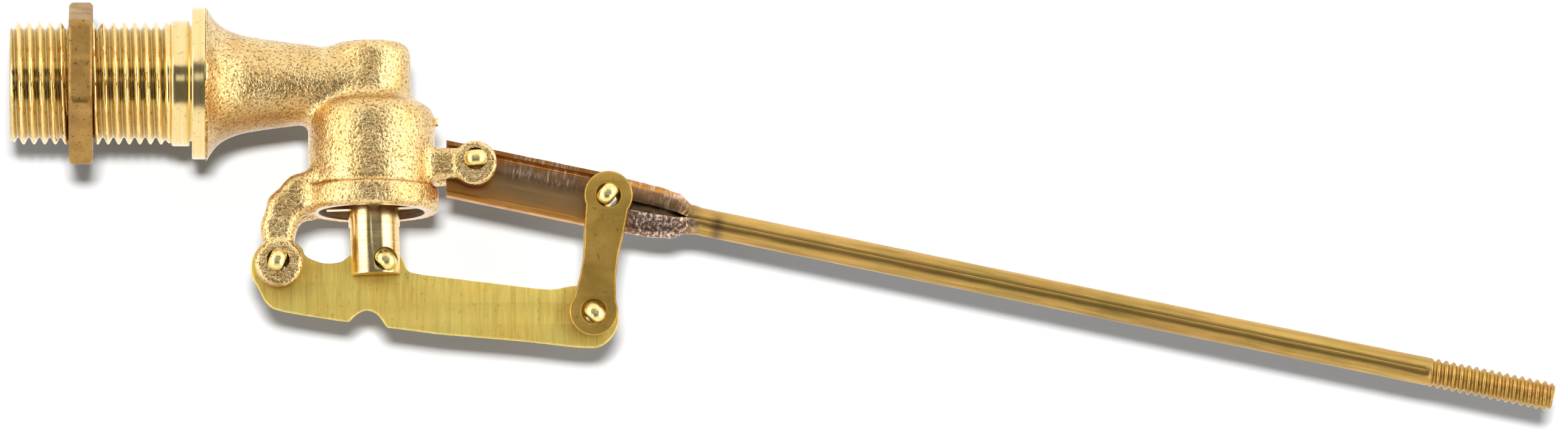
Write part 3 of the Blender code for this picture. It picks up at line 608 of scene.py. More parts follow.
def makeCastBody():
    c = casting
    points, faces = surfaceNet(castingField, c["low"], c["high"], c["voxel"])
    points = settle(points, castingField)
    slope = slopeAt(points, castingField, 0.05)
    slope /= np.linalg.norm(slope, axis=1)[:, None]
    free = points[:, 0] > c["flangeT"]
    push = np.array([castLump(p) for p in points]) * free
    points = points + slope * push[:, None]
    body = meshObject("valveCasting", points.tolist(), faces.tolist())
    bottom, bore, roof, orifice = c["chamberBottom"], c["boreR"], c["roofZ"], c["orificeR"]
    cutWith(body, [
        plugZ([(bottom, c["ringR"]), (bottom - 1.5, c["ringR"])]),
        plugZ([(roof, bore), (bottom + 0.35, bore), (bottom - 0.3, bore + 0.5), (bottom - 3, bore + 0.5)]),
        plugX(c["neckBoreR"], 0, c["towerX"] + 0.5),
        plugZ([(3.4, 3.4), (1.5, 5.0), (-4.5, 5.0), (-6.2, orifice), (-12, orifice)], 64),
        plugY(c["pinHoleR"], *c["fulcrumHole"], -8, 0),
        plugY(c["farHoleR"], *c["fulcrumHole"], 0, 8),
        plugY(c["pinHoleR"], *c["earHole"], -8, 0),
        plugY(c["farHoleR"], *c["earHole"], 0, 8),
    ])
    lip = [
        (roof + 0.3, orifice), (c["seatZ"] + 0.2, orifice), (c["seatZ"], orifice + 0.3),
        (c["seatZ"], c["seatLipR"] - 0.5), (c["seatZ"] + 0.3, c["seatLipR"]), (roof + 0.3, c["seatLipR"]),
    ]
    cutWith(body, [ringMesh("seatLip", towerRings(lip, 64), True)], "UNION")
    giveFinish(body, castBrass, faceBrass, boreShadowBrass)
    softShade(body, 40)
    for face in body.data.polygons:
        spot = face.center / mm
        r = math.hypot(spot.x - c["towerX"], spot.y)
        if abs(spot.z - bottom) < 0.02 and r < c["ringR"] + 0.1:
            face.material_index = 1
        # the bore's inside gets the painted-shade material
        elif r < bore + 0.55 and bottom < spot.z < roof + 0.4:
            face.material_index = 2
    return place(body, "body", "cast_brass", ["valve_body"])


makeCastBody()
print("cast body done")


# inlet: thread, collar, flange

inlet = dict(
    start=-31.2, threadR=10.4775, rootR=9.33, pitch=1.8143, runOut=(3.9, 5.1), boreR=7.5, neckBoreR=5.0,
    collarR=10.8, collarFrom=-3.5, collarTo=-0.4, reliefR=9.9, flangeR=13.05, flangeT=2.6,
)


def inletThread(x, angle):
    s = inlet
    fade = between(-x, *s["runOut"])  # the thread runs out towards the collar
    height = helixShape(x, angle, s["pitch"], s["start"])
    root = s["rootR"] + (s["threadR"] - s["rootR"] - 0.25) * (1 - fade)
    r = root + (s["threadR"] - 0.12 * (1 - fade) - root) * height
    wear = 0.03 * noise.noise(Vector((x * 0.9, math.cos(angle) * 4, math.sin(angle) * 4)))
    chamfer = s["threadR"] - 0.9 + (x - s["start"]) * 0.75
    return min(r + wear, chamfer)


def makeInlet():
    s = inlet
    thick, rim, collar, relief = s["flangeT"], s["flangeR"], s["collarR"], s["reliefR"]
    inner, outer, end, bore = s["collarTo"], s["collarFrom"], s["start"], s["boreR"]
    stations = [
        (thick, s["neckBoreR"]), (thick, rim - 0.4), (thick - 0.12, rim - 0.12), (thick - 0.4, rim),
        (0.25, rim), (0.07, rim - 0.07), (0.0, rim - 0.25), (0.0, collar + 0.1),
        (0.1, relief + 0.1), (-0.12, relief), (inner, relief + 0.1), (inner - 0.05, collar - 0.1),
        (inner - 0.2, collar), (-2.0, collar), (outer + 0.3, collar), (outer + 0.05, collar - 0.15),
        (outer - 0.1, s["threadR"] - 0.35),
    ]
    step = s["pitch"] / 12
    for n in range(int((outer - end - 0.3) / step)):
        x = outer - 0.3 - n * step
        stations.append((x, lambda a, x=x: inletThread(x, a)))
    stations.append((end + 0.02, lambda a: inletThread(end + 0.02, a)))
    stations += [(end, s["threadR"] - 1.1), (end, bore + 0.5), (end + 0.5, bore), (-1.0, bore),
                 (thick - 0.4, s["neckBoreR"])]
    spigot = ringMesh("inletSpigot", turnedRings(stations, 144, "X"), True)
    giveFinish(spigot, inletBrass)
    softShade(spigot, 50)
    return place(spigot, "body", "cast_brass")


makeInlet()
print("inlet done")


# backnut

nut = dict(faceX=-17.0, thick=4.1, acrossCorners=29.4, turn=-22)


def makeBacknut():
    s = nut
    crest = s["acrossCorners"] / 2
    flat = crest * math.cos(math.radians(30))

    def hexR(angle, shrink):
        local = (angle + math.radians(s["turn"])) % (math.pi / 3) - math.pi / 6
        dent = 0.05 * noise.noise(Vector((math.cos(angle), math.sin(angle), 0)) * 9)
        return min(flat / math.cos(local), crest - 0.18) - shrink + dent

    def chamfered(limit, shrink):
        return lambda a: min(hexR(a, shrink), limit)

    back, front = s["faceX"] - s["thick"], s["faceX"]
    edge = ((0, 1.0, 0.3), (0.14, 0.75, 0.12), (0.40, 0.35, 0), (0.75, 0, 0), (1.4, 0, 0))  # in, down, shrink
    stations = [(back + off, chamfered(crest - down, shrink)) for off, down, shrink in edge]
    stations += [(front - off, chamfered(crest - down, shrink)) for off, down, shrink in reversed(edge)]

    def threadR(x):
        return lambda a: inlet["rootR"] + 0.16 + (inlet["threadR"] - inlet["rootR"]) * helixShape(
            x, a, inlet["pitch"], inlet["start"])

    stations.append((front, inlet["threadR"] + 0.75))
    for n in range(33):
        x = front - 0.25 - (s["thick"] - 0.5) * n / 32
        stations.append((x, threadR(x)))
    stations.append((back, inlet["threadR"] + 0.75))
    obj = ringMesh("backnut", turnedRings(stations, 180, "X"), True)
    giveFinish(obj, nutBrass)
    softShade(obj, 28)
    return place(obj, "backnut", "nut_brass", ["locknut"])


makeBacknut()
print("backnut done")


# piston, its washer and screw

piston = dict(
    x=30.8, lean=1.9, leanAbout=-11.0, stemR=4.4, stemBottom=-33.5, slotHalf=1.25, slotTop=-24.9,
    washerTop=-10.88, washerT=2.5, washerR=5.2, cupR=6.6, wingR=8.45, wingHalf=1.1, wingBottom=-21.9,
    pin=(32.55, -31.1), pinHoleR=2.05, farHoleR=1.3, screwR=2.5, screwH=1.1, screwPitch=0.5, screwLength=5.2,
)


def leanPiston(obj):  # the stem hangs a little out of true in its guide
    s = piston
    about = Vector((s["x"], 0, s["leanAbout"])) * mm
    turn = Matrix.Rotation(math.radians(-s["lean"]), 4, "Y")
    return moveMesh(obj, Matrix.Translation(about) @ turn @ Matrix.Translation(-about))


def makePiston():
    s = piston
    floor = s["washerTop"] - s["washerT"] - 0.3
    rim = s["washerTop"] - 0.7
    foot = floor - 1.8
    r, cup, low, well = s["stemR"], s["cupR"], s["stemBottom"], s["washerR"] + 0.3
    stations = [
        (floor, 0.001), (floor, well), (rim, well), (rim, cup - 0.2), (rim - 0.2, cup), (foot, cup),
        (foot - 0.6, cup - 0.9), (foot - 1.2, r + 0.3), (foot - 1.6, r), (low + 0.35, r), (low + 0.1, r - 0.1),
        (low, r - 0.35), (low, 0.001),
    ]
    obj = ringMesh("pistonStem", turnedRings(stations, 96, "Z"), False)
    moveMesh(obj, Matrix.Translation((s["x"] * mm, 0, 0)))
    span, base, step = s["wingR"], s["wingBottom"], s["washerR"] + 0.6
    profile = [(r - 1.0, base), (span - 0.4, base), (span, base + 0.4), (span, rim - 1.2),
               (span - 0.4, rim - 0.8), (step, rim - 0.8), (step, foot - 0.2), (r - 1.0, foot - 0.2)]
    wings = []
    for n in range(4):
        a = math.radians(90 * n)
        rings = []
        for off in (-s["wingHalf"], s["wingHalf"]):
            rings.append([
                (s["x"] + q * math.cos(a) - off * math.sin(a), q * math.sin(a) + off * math.cos(a), z)
                for q, z in profile
            ])
        wings.append(ringMesh("wing", rings, False))
    cutWith(obj, wings, "UNION")
    slot = [(-r - 1, low - 1), (r + 1, low - 1), (r + 1, s["slotTop"]), (-r - 1, s["slotTop"])]
    sides = (-s["slotHalf"], s["slotHalf"])
    cutWith(obj, [
        ringMesh("slot", [[(s["x"] + x, y, z) for x, z in slot] for y in sides], False),
        plugY(s["pinHoleR"], *s["pin"], -7, 0),
        plugY(s["farHoleR"], *s["pin"], 0, 7),
    ])
    giveFinish(obj, stemBrass)
    softShade(obj, 35)
    leanPiston(obj)
    return place(obj, "plunger", "turned_brass", ["piston"])


def makeWasher():
    s = piston
    top, r = s["washerTop"], s["washerR"]
    low = top - s["washerT"]
    stations = [(top, 1.5), (top, r - 0.25), (top - 0.1, r - 0.06), (top - 0.3, r), (low + 0.2, r),
                (low, r - 0.2), (low, 1.5)]
    obj = ringMesh("seatWasher", turnedRings(stations, 72, "Z"), True)
    moveMesh(obj, Matrix.Translation((s["x"] * mm, 0, 0)))
    giveFinish(obj, washerRubber)
    softShade(obj)
    leanPiston(obj)
    return place(obj, "plunger", "washer_rubber", ["piston_washer"])


def makeScrew():
    s = piston
    low = s["washerTop"] + 0.05
    top = low + s["screwH"]
    stations = [(top, 0.001), (top - 0.02, s["screwR"] * 0.6), (top - 0.2, s["screwR"] * 0.85),
                (top - 0.55, s["screwR"]), (low, s["screwR"]), (low, 1.2)]
    for n in range(60):
        z = low - 0.2 - s["screwLength"] * n / 60
        stations.append((z, lambda a, z=z: 0.95 + 0.25 * helixShape(z, a, s["screwPitch"], 0)))
    stations += [(low - 5.6, 0.8), (low - 5.6, 0.001)]
    obj = ringMesh("washerScrew", turnedRings(stations, 40, "Z"), False)
    slot = [(-3, -0.3), (3, -0.3), (3, 0.3), (-3, 0.3)]
    cutWith(obj, [ringMesh("slot", [[(x, y, z) for x, y in slot] for z in (top - 0.6, top + 0.5)], False)])
    moveMesh(obj, Matrix.Translation((s["x"] * mm, 0, 0)))
    giveFinish(obj, stemBrass)
    softShade(obj)
    leanPiston(obj)
    return place(obj, "plunger", "turned_brass", ["washer_screw"])


makePiston()
makeWasher()
makeScrew()
print("piston done")


# flat pieces: lever plate and links

linkage = dict(
    fulcrum=(15.1, -32.1), leverPin=(33.1, -31.3), linkTop=(71.4, -19.9), linkFoot=(68.8, -40.05), leverT=1.9,
    leverEndR=5.0, leverBelow=7.3, leverBelowFoot=6.1, leverAbove=2.6, humpAt=17.25, humpRise=3.3, humpHigh=4.2,
    linkT=1.5, linkSide=2.0, linkEndR=4.2, linkWaist=3.0, pinHoleR=2.05, farHoleR=1.55, fulcrumHoleR=1.85,
)


def platePiece(name, outline, holes, near, thick, edge):  # flat plate with rounded rims
    curve = bpy.data.curves.new(name, "CURVE")
    curve.dimensions = "2D"
    curve.fill_mode = "BOTH"
    curve.extrude = (thick / 2 - edge) * mm
    curve.bevel_depth = edge * mm
    curve.bevel_resolution = 3
    curve.offset = -edge * mm
    for loop in [outline, *holes]:
        spline = curve.splines.new("POLY")
        spline.points.add(len(loop) - 1)
        for point, (x, z) in zip(spline.points, loop):
            point.co = (x * mm, z * mm, 0, 1)
        spline.use_cyclic_u = True
    drawn = bpy.data.objects.new(name, curve)
    bpy.context.scene.collection.objects.link(drawn)
    graph = bpy.context.evaluated_depsgraph_get()
    mesh = bpy.data.meshes.new_from_object(drawn.evaluated_get(graph))
    bpy.data.objects.remove(drawn)
    bm = bmesh.new()
    bm.from_mesh(mesh)
    bmesh.ops.remove_doubles(bm, verts=bm.verts, dist=0.000001)
    turn = Matrix.Translation((0, (near + thick / 2) * mm, 0)) @ Matrix.Rotation(math.pi / 2, 4, "X")
    bmesh.ops.transform(bm, verts=bm.verts, matrix=turn)
    bmesh.ops.recalc_face_normals(bm, faces=bm.faces)
    bm.to_mesh(mesh)
    bm.free()
    obj = bpy.data.objects.new(name, mesh)
    bpy.context.scene.collection.objects.link(obj)
    softShade(obj, 60)
    return obj


def along(start, end):  # maps (s, t) along and across a line to (x, z)
    dx, dz = end[0] - start[0], end[1] - start[1]
    length = math.hypot(dx, dz)
    dx, dz = dx / length, dz / length
    return (lambda s, t: (start[0] + dx * s - dz * t, start[1] + dz * s + dx * t)), length


def leverOutline():
    s = linkage
    spot, length = along(s["fulcrum"], s["linkFoot"])
    mid, rise, hump = s["humpAt"], s["humpRise"], s["humpHigh"]
    below, foot, above = s["leverBelow"], s["leverBelowFoot"], s["leverAbove"]
    end = arcPoints((0, 0), s["leverEndR"], 48, 228, 20)
    lower = splinePoints([end[-1], (-1.3, -below + 0.9), (1.6, -below), (mid - 6.1, -below - 0.2)], 8)
    notch = splinePoints([
        (mid - 4.2, -below - 0.1), (mid - 2.8, -below + 1.6), (mid - 1.3, -below + 2.3),
        (mid + 0.5, -below + 1.8), (mid + 2.3, -below), (mid + 3.3, -below - 0.1),
    ], 7)
    far = splinePoints([
        (mid + 11, -below), (length - 11, -foot - 0.3), (length - 1.0, -foot + 0.1), (length + 2.5, -foot + 1.1),
        (length + 4.3, -foot + 4.0), (length + 4.2, 0.8), (length + 2.6, 3.4), (length - 0.4, 4.4),
        (length - 4.0, 4.2), (length - 8.0, above + 0.4), (length - 14, above + 0.1),
    ], 8)
    back = splinePoints([
        (mid + 7.0, above - 0.3), (mid + 4.6, above), (mid + 3.4, rise + 1.0), (mid + 1.6, rise + hump - 0.8),
        (mid - 1.0, rise + hump - 0.4), (mid - 3.8, rise + 2.2), (mid - 6.0, rise + 0.2),
        (mid - 7.2, above - 0.2), (mid - 9.8, above - 0.8), (5.0, above - 0.4), (3.8, 2.8),
    ], 8)
    return [spot(s, t) for s, t in end + lower[1:] + notch + far + back]


def linkOutline():
    spot, length = along(linkage["linkFoot"], linkage["linkTop"])
    r, waist = linkage["linkEndR"], linkage["linkWaist"]
    shoulder = r * math.cos(math.radians(30))
    right = splinePoints([(r * 0.5, -shoulder), (length * 0.3, -waist - 0.1), (length * 0.5, -waist),
                          (length * 0.7, -waist - 0.4), (length - r * 0.5, -shoulder)], 8)
    left = [(s, -t) for s, t in reversed(right)]
    foot = arcPoints((0, 0), r, 60, 300, 30)
    top = arcPoints((length, 0), r, -120, 120, 30)
    return [spot(s, t) for s, t in foot[:-1] + right + top[1:-1] + left[:-1]]


def makeLever():
    s = linkage
    holes = [holeLoop(s["fulcrum"], s["fulcrumHoleR"]), holeLoop(s["leverPin"], s["farHoleR"]),
             holeLoop(s["linkFoot"], s["farHoleR"])]
    obj = platePiece("leverPlate", leverOutline(), holes, -s["leverT"] / 2, s["leverT"], 0.22)
    giveFinish(obj, leverBrass)
    return place(obj, "lever", "sheet_brass", ["lever_plate"])


def makeLinks():
    s = linkage
    for name, node, near, holeR in (
        ("frontLink", "front_link", -s["linkSide"] - s["linkT"], s["pinHoleR"]),
        ("rearLink", "rear_link", s["linkSide"], s["farHoleR"]),
    ):
        holes = [holeLoop(s["linkTop"], holeR), holeLoop(s["linkFoot"], holeR)]
        obj = platePiece(name, linkOutline(), holes, near, s["linkT"], 0.34)
        giveFinish(obj, linkBrass)
        place(obj, "links", "link_brass", [node])


makeLever()
makeLinks()
print("lever and links done")


# float arm: one strip, open channel at the valve, rolled shut into a rod, thread rolled on the tip

arm = dict(
    pivot=(48.7, -14.7), drop=11.8, below=1.25, sheet=0.85, channelH=9.5, channelDepth=3.4, heel=4.9, bendR=0.9,
    rodD=4.76, seam=0.01, reach=189.1, threadD=5.0, threadLength=22.3, threadDepth=0.52, pitch=1.33,
    linkAt=23.29, ridgeAt=13.0, ridgeHigh=0.22, scorchAt=19.3, pivotHoleR=2.0, linkHoleR=1.6,
)


def stripPoint(section, length):  # middle of the bent strip and its outward side
    half, depth, bend, rear = section["height"] / 2, section["depth"], section["bend"], section["rear"]
    web = half - bend
    quarter = math.pi / 2 * bend
    roof = depth - 2 * bend
    if length <= web:
        return Vector((rear, length)), Vector((1, 0))
    length -= web
    if length <= quarter:
        a = length / bend
        way = Vector((math.cos(a), math.sin(a)))
        return Vector((rear - bend, web)) + bend * way, way
    length -= quarter
    if length <= roof:
        return Vector((rear - bend - length, half)), Vector((0, 1))
    length -= roof
    if length <= quarter:
        a = math.pi / 2 + length / bend
        way = Vector((math.cos(a), math.sin(a)))
        return Vector((rear - depth + bend, web)) + bend * way, way
    length -= quarter
    return Vector((rear - depth, web - length)), Vector((-1, 0))


def stripSection(section, samples):  # closed outline of the strip, as (y, up) points
    outside, inside = [], []
    for n in range(-samples, samples + 1):
        upper = n >= 0
        reach = section["upper"] if upper else section["lower"]
        middle, outward = stripPoint(section, reach * abs(n) / samples)
        if not upper:
            middle.y, outward.y = -middle.y, -outward.y
        rim = 1 if abs(n) < samples else 0.8
        outside.append(middle + outward * section["wall"] / 2 * rim)
        inside.append(middle - outward * section["wall"] / 2 * rim)
    return outside + inside[::-1]


def armSections():
    s = arm
    wall = s["sheet"]
    high = s["channelH"] - wall
    rear = (s["channelDepth"] - wall) / 2
    bend = s["bendR"]
    flange = high / 2 - bend + math.pi / 2 * bend + rear - bend + s["channelDepth"] / 2
    channel = dict(height=high, depth=rear + bend + s["channelDepth"] / 2, bend=bend, rear=rear,
                   upper=flange, lower=flange, wall=wall)
    curled = dict(channel, depth=s["channelDepth"] - wall)

    def folded(height, depth, bend, lipUp, lipLow, rear):
        trip = height / 2 - bend + math.pi * bend + depth - 2 * bend
        return dict(height=height, depth=depth, bend=bend, rear=rear, wall=wall,
                    upper=trip + height / 2 - bend - lipUp, lower=trip + height / 2 - bend + lipLow)

    rodH, seam = s["rodD"] - wall, s["seam"]
    full = folded(high * 0.965, s["channelDepth"] - wall, bend, 0.95, -0.7, rear)
    bulge = folded(high * 0.93, s["channelDepth"] - wall, bend, 0.85, -0.6, rear)
    necking = folded(high * 0.83, 2.7, 1.1, 0.6, -0.4, rear + 0.1)
    throat = folded(rodH * 1.10, rodH * 0.94, rodH * 0.46, seam, -seam, rodH / 2 - 0.1)
    rod = folded(rodH, rodH, rodH / 2 - 0.01, seam, -seam, rodH / 2)
    at = s["linkAt"]
    return [
        (-s["heel"], channel), (at - 2.6, channel), (at - 0.2, curled), (at + 3.4, full), (at + 8.0, bulge),
        (at + 11.6, necking), (at + 14.6, throat), (at + 16.4, rod), (s["reach"] - s["threadLength"], rod),
    ]


def sectionAt(keys, place):
    for (start, a), (end, b) in zip(keys, keys[1:]):
        if place <= end:
            t = (place - start) / (end - start)
            ease = t * t * (3 - 2 * t)
            return {key: a[key] + (b[key] - a[key]) * ease for key in a}
    return keys[-1][1]


def makeFloatArm():
    s = arm
    a = math.radians(s["drop"])
    keys = armSections()
    at, end = s["linkAt"], s["reach"] - s["threadLength"]
    places = [-s["heel"], -s["heel"] + 0.15]
    while places[-1] < at - 3:
        places.append(places[-1] + 1.0)
    while places[-1] < at + 18:
        places.append(places[-1] + (0.12 if at + 11 < places[-1] < at + 17 else 0.3))
    while places[-1] < end - 2:
        places.append(places[-1] + 1.5)
    places.append(end)
    rings = []
    for n, reach in enumerate(places):
        section = sectionAt(keys, reach)
        slant = math.tan(a) if n < 2 else 0  # the channel's end is cut upright
        crush = between(reach, at + 2, at + 7) * (1 - between(reach, at + 14, at + 20))
        ring = []
        for y, h in stripSection(section, 26):
            dent = 0.05 * noise.noise(Vector((reach * 0.35, y * 0.8, h * 0.8)))
            dent += crush * 0.10 * noise.noise(Vector((reach, y, h)) * 1.1)
            if y < 0 and n > 2:  # two small ridges where the strip closes into the tube
                ridge = (reach - at - s["ridgeAt"] - abs(h) * 0.75) / 0.16
                y -= s["ridgeHigh"] * (math.exp(-ridge * ridge) + 0.7 * math.exp(-(ridge - 5) ** 2))
            u = reach - h * slant
            w = h - s["below"] + dent
            ring.append((s["pivot"][0] + math.cos(a) * u + math.sin(a) * w, y + dent,
                         s["pivot"][1] - math.sin(a) * u + math.cos(a) * w))
        rings.append(ring)
    count = len(rings[0])
    points = [p for ring in rings for p in ring]
    faces = ringFaces(rings, False)
    for first, flip in ((0, False), ((len(rings) - 1) * count, True)):  # the strip's two ends
        for n in range(count // 2 - 1):
            quad = [first + n, first + n + 1, first + count - 2 - n, first + count - 1 - n]
            faces.append(tuple(quad[::-1] if flip else quad))
    obj = meshObject("floatArm", points, faces)
    cutWith(obj, [plugY(s["pivotHoleR"], *s["pivot"], -5, 5), plugY(s["linkHoleR"], *linkage["linkTop"], -5, 5)])
    softShade(obj, 40)
    tip = makeRodThread(end)
    bpy.context.view_layer.update()
    with bpy.context.temp_override(active_object=obj, selected_editable_objects=[obj, tip]):
        bpy.ops.object.join()
    giveFinish(obj, makeArmBrass())
    return place(obj, "arm", "arm_brass", ["float_arm"])


def makeRodThread(start):
    s = arm
    a = math.radians(s["drop"])
    rootR = s["threadD"] / 2 - s["threadDepth"]
    end = s["reach"]

    def ridge(x):
        fadeIn = between(x, start + 0.2, start + 1.3)

        def radius(angle):
            height = helixShape(x, angle, s["pitch"], 0)
            r = s["rodD"] / 2 * (1 - fadeIn) + (rootR + s["threadDepth"] * height) * fadeIn
            worn = 0.06 * noise.noise(Vector((x * 1.3, math.cos(angle) * 2.2, math.sin(angle) * 2.2)))
            return min(r + worn * fadeIn, 1.9 + (end - x) * 0.9)
        return radius

    stations = [(start - 0.2, 0.8), (start - 0.2, s["rodD"] / 2 - 0.02)]
    step = s["pitch"] / 12
    for n in range(int((end - start) / step)):
        x = start + n * step
        stations.append((x, ridge(x)))
    stations += [(end - 0.01, ridge(end - 0.01)), (end, 1.5), (end - 0.6, 0.8)]
    obj = ringMesh("rodThread", turnedRings(stations, 72, "X"), True)
    axisX = s["pivot"][0] - math.sin(a) * s["below"]
    axisZ = s["pivot"][1] - math.cos(a) * s["below"]
    moveMesh(obj, Matrix.Translation((axisX * mm, 0, axisZ * mm)) @ Matrix.Rotation(a, 4, "Y"))
    softShade(obj, 45)
    return obj


def makeArmBrass():  # drawn brass with a dark smudge on the rod, browner at the channel with painted highlight bands along its bends, a painted dark reflection band above its middle and painted shade at its bottom edge, and scored where it was folded; the fold's inside has painted shadow and painted glints
    look = dict(
        rod=(0.74, 0.45, 0.13), olive=(0.56, 0.38, 0.10), brown=(0.16, 0.075, 0.02), scratchAndGlint=(0.95, 0.72, 0.62),
        # the scratch colour also paints the crinkle's glints, and the scorch colour also paints the fold's shadow
        smudgeAndShade=(0.13, 0.08, 0.055),
        # the channel bands hold its brown tone plus painted highlights and painted shade
        toneAndSheenBands=((0.0, (0.18, 0.08, 0.015)), (0.04, (0.40, 0.18, 0.035)), (0.10, (0.80, 0.38, 0.09)),
               (0.16, (0.66, 0.31, 0.07)), (0.40, (0.44, 0.26, 0.11)), (0.55, (0.40, 0.25, 0.11)),
               (0.72, (0.21, 0.12, 0.055)), (0.90, (0.48, 0.27, 0.12)), (0.97, (0.66, 0.31, 0.07)),
               (1.0, (0.50, 0.22, 0.04))),
    )
    s = arm
    a = math.radians(s["drop"])
    at, half = s["linkAt"], s["channelH"] / 2 * mm
    made, tree, shader = newMaterial("armBrass", 0.30)

    def times(one, other):
        return mathNode(tree, "MULTIPLY", one, other)

    turn = addNode(tree, "ShaderNodeMapping")
    tree.links.new(objectCoords(tree), turn.inputs["Vector"])
    turn.inputs["Rotation"].default_value = (0, -a, 0)
    local = turn.outputs["Vector"]
    split = partsOf(tree, local)
    startU = (s["pivot"][0] * math.cos(a) - s["pivot"][1] * math.sin(a)) * mm
    startW = (s["pivot"][0] * math.sin(a) + s["pivot"][1] * math.cos(a) - s["below"]) * mm
    reach = mathNode(tree, "SUBTRACT", split["X"], startU)
    height = mathNode(tree, "SUBTRACT", split["Z"], startW)
    brush = placeBrush(tree, stretched(tree, local, (0.04, 1, 1)), 1500)
    stain = placeGroup(tree, tarnishGroup, Patch_Scale=130, Spot_Scale=1200)
    rodColour = mixColours(tree, stain.outputs["Patches"], look["rod"], look["olive"])
    lined = mixColours(tree, times(brush.outputs["Streaks"], 0.5), rodColour, look["brown"])
    wave = times(noiseNode(tree, local, 300, 3), 0.0016)
    # painted light across the channel's height: its brown tone, painted highlight bands along the bends near top
    # and bottom, a painted dark reflection band above the middle and a painted dark strip of shade at the bottom
    # edge
    across = spread(tree, mathNode(tree, "ADD", height, wave), -half, half)
    ramp = addNode(tree, "ShaderNodeValToRGB")
    tree.links.new(across, ramp.inputs["Fac"])
    stops = ramp.color_ramp.elements
    while len(stops) < len(look["toneAndSheenBands"]):
        stops.new(0.5)
    for stop, (spot, colour) in zip(stops, look["toneAndSheenBands"]):
        stop.position = spot
        stop.color = (*colour, 1)
    # the channel part, up to the fold, takes the ramp's tone and painted light
    channelPart = spread(tree, reach, (at + 17) * mm, (at + 13) * mm)
    ring = mathNode(tree, "ABSOLUTE", mathNode(tree, "SUBTRACT", reach, (at + s["scorchAt"]) * mm))
    ring = spread(tree, mathNode(tree, "ADD", ring, wave), 2.4 * mm, 0.9 * mm, 0, 0.7)
    ring = times(ring, spread(tree, height, 1.9 * mm, 0.6 * mm))
    lined = mixColours(tree, ring, lined, look["smudgeAndShade"])
    toneAndSheen = mixColours(tree, channelPart, lined, ramp.outputs["Color"])
    strokes = noiseNode(tree, stretched(tree, local, (1, 0.2, 0.14)), 2400, 3, 0.7)  # scoring under the upper lip
    strokes = spread(tree, strokes, 0.50, 0.64)
    zone = times(spread(tree, height, 0.4 * mm, 2.2 * mm), channelPart)
    zone = times(zone, spread(tree, noiseNode(tree, local, 170, 2), 0.38, 0.66))
    scored = mixColours(tree, times(strokes, zone), toneAndSheen, look["scratchAndGlint"])
    crinkle = noiseNode(tree, stretched(tree, local, (1, 0.6, 0.8)), 1900, 3, 0.7)  # crushed metal of the fold
    # painted shadow: the fold's lower inside is darkened, then painted glints in the scratch colour go where the
    # crinkle noise is high
    fold = times(spread(tree, reach, (at + 2) * mm, (at + 5) * mm), channelPart)
    fold = times(fold, spread(tree, height, 0.2 * mm, -0.9 * mm))
    foldShadowed = mixColours(tree, times(fold, 0.85), scored, look["smudgeAndShade"])
    colour = mixColours(tree, times(spread(tree, crinkle, 0.48, 0.62), fold), foldShadowed, look["scratchAndGlint"])
    finishSurface(tree, shader, colour, spread(tree, brush.outputs["Streaks"], 0, 1, 0.30, 0.46))
    bump = mathNode(tree, "ADD", times(crinkle, times(fold, 9)), brush.outputs["Height"])
    addBump(tree, shader, bump, 0.4, 0.03)
    return made


makeFloatArm()
print("float arm done")


# split pins: half-round wire folded into an eye, its two legs bent apart behind

pinShape = dict(wire=2.3, eyeLong=4.1, eyeWide=2.75, proud=1.55, sunk=0.8, legLength=4.0, legSpread=62)


def pinPath(grip):  # inner line of the wire, (across, depth, half width), from leg tip to leg tip
    s = pinShape
    half = s["wire"] / 2
    spread = math.radians(s["legSpread"])
    back = grip + 0.35
    neck = s["sunk"] - grip
    inner = s["eyeLong"] / 2 - half
    top = -grip - s["proud"] + half
    way = []
    for reach in (1, 0.5, 0.12):
        leg = s["legLength"] * reach
        way.append((0.28 + math.sin(spread) * leg, back + math.cos(spread) * leg, half))
    way += [(0.08, back - 0.5, half), (0.04, back - 1.4, half), (0.04, neck + 0.9, half),
            (inner * 0.35, neck + 0.35, half), (inner * 0.85, neck - 0.2, half * 1.06)]
    for n in range(8):
        a = math.radians(90 * n / 7)
        dent = 0.07 * max(0, n - 5) / 2
        wide = s["eyeWide"] / 2 * (1 - 0.1 * dent)
        way.append((inner * math.cos(a), top + 0.75 * (1 - math.sin(a)) + dent, wide))
    mirrored = [(-x, y, w) for x, y, w in reversed(way[:-1])]
    return splinePoints(way + mirrored, 4)


def makeSplitPin(name, node, body, spot, grip, turn):
    path = pinPath(grip)
    rings = []
    for n, (x, y, half) in enumerate(path):
        ahead = Vector(path[min(n + 1, len(path) - 1)][:2]) - Vector(path[max(n - 1, 0)][:2])
        ahead.normalize()
        outward = Vector((-ahead.y, ahead.x))
        ends = min(n, len(path) - 1 - n)
        shrink = 0.55 + 0.45 * between(ends, 0, 3)
        deep = pinShape["wire"] / 2 * shrink
        ring = []
        for k in range(16):
            a = math.pi * k / 15
            o = max(0, math.sin(a)) ** 0.85 * deep
            ring.append((x + outward.x * o, y + outward.y * o, math.cos(a) * half * shrink))
        for across in (-0.5, 0, 0.5):
            ring.append((x, y, across * half * shrink))
        rings.append(ring)
    obj = ringMesh(name, rings, False)
    softShade(obj, 50)
    giveFinish(obj, pinBrass)
    spin = Matrix.Rotation(math.radians(-turn), 4, "Y")
    moveMesh(obj, Matrix.Translation((spot[0] * mm, 0, spot[1] * mm)) @ spin)
    return place(obj, body, "pin_brass", [node])


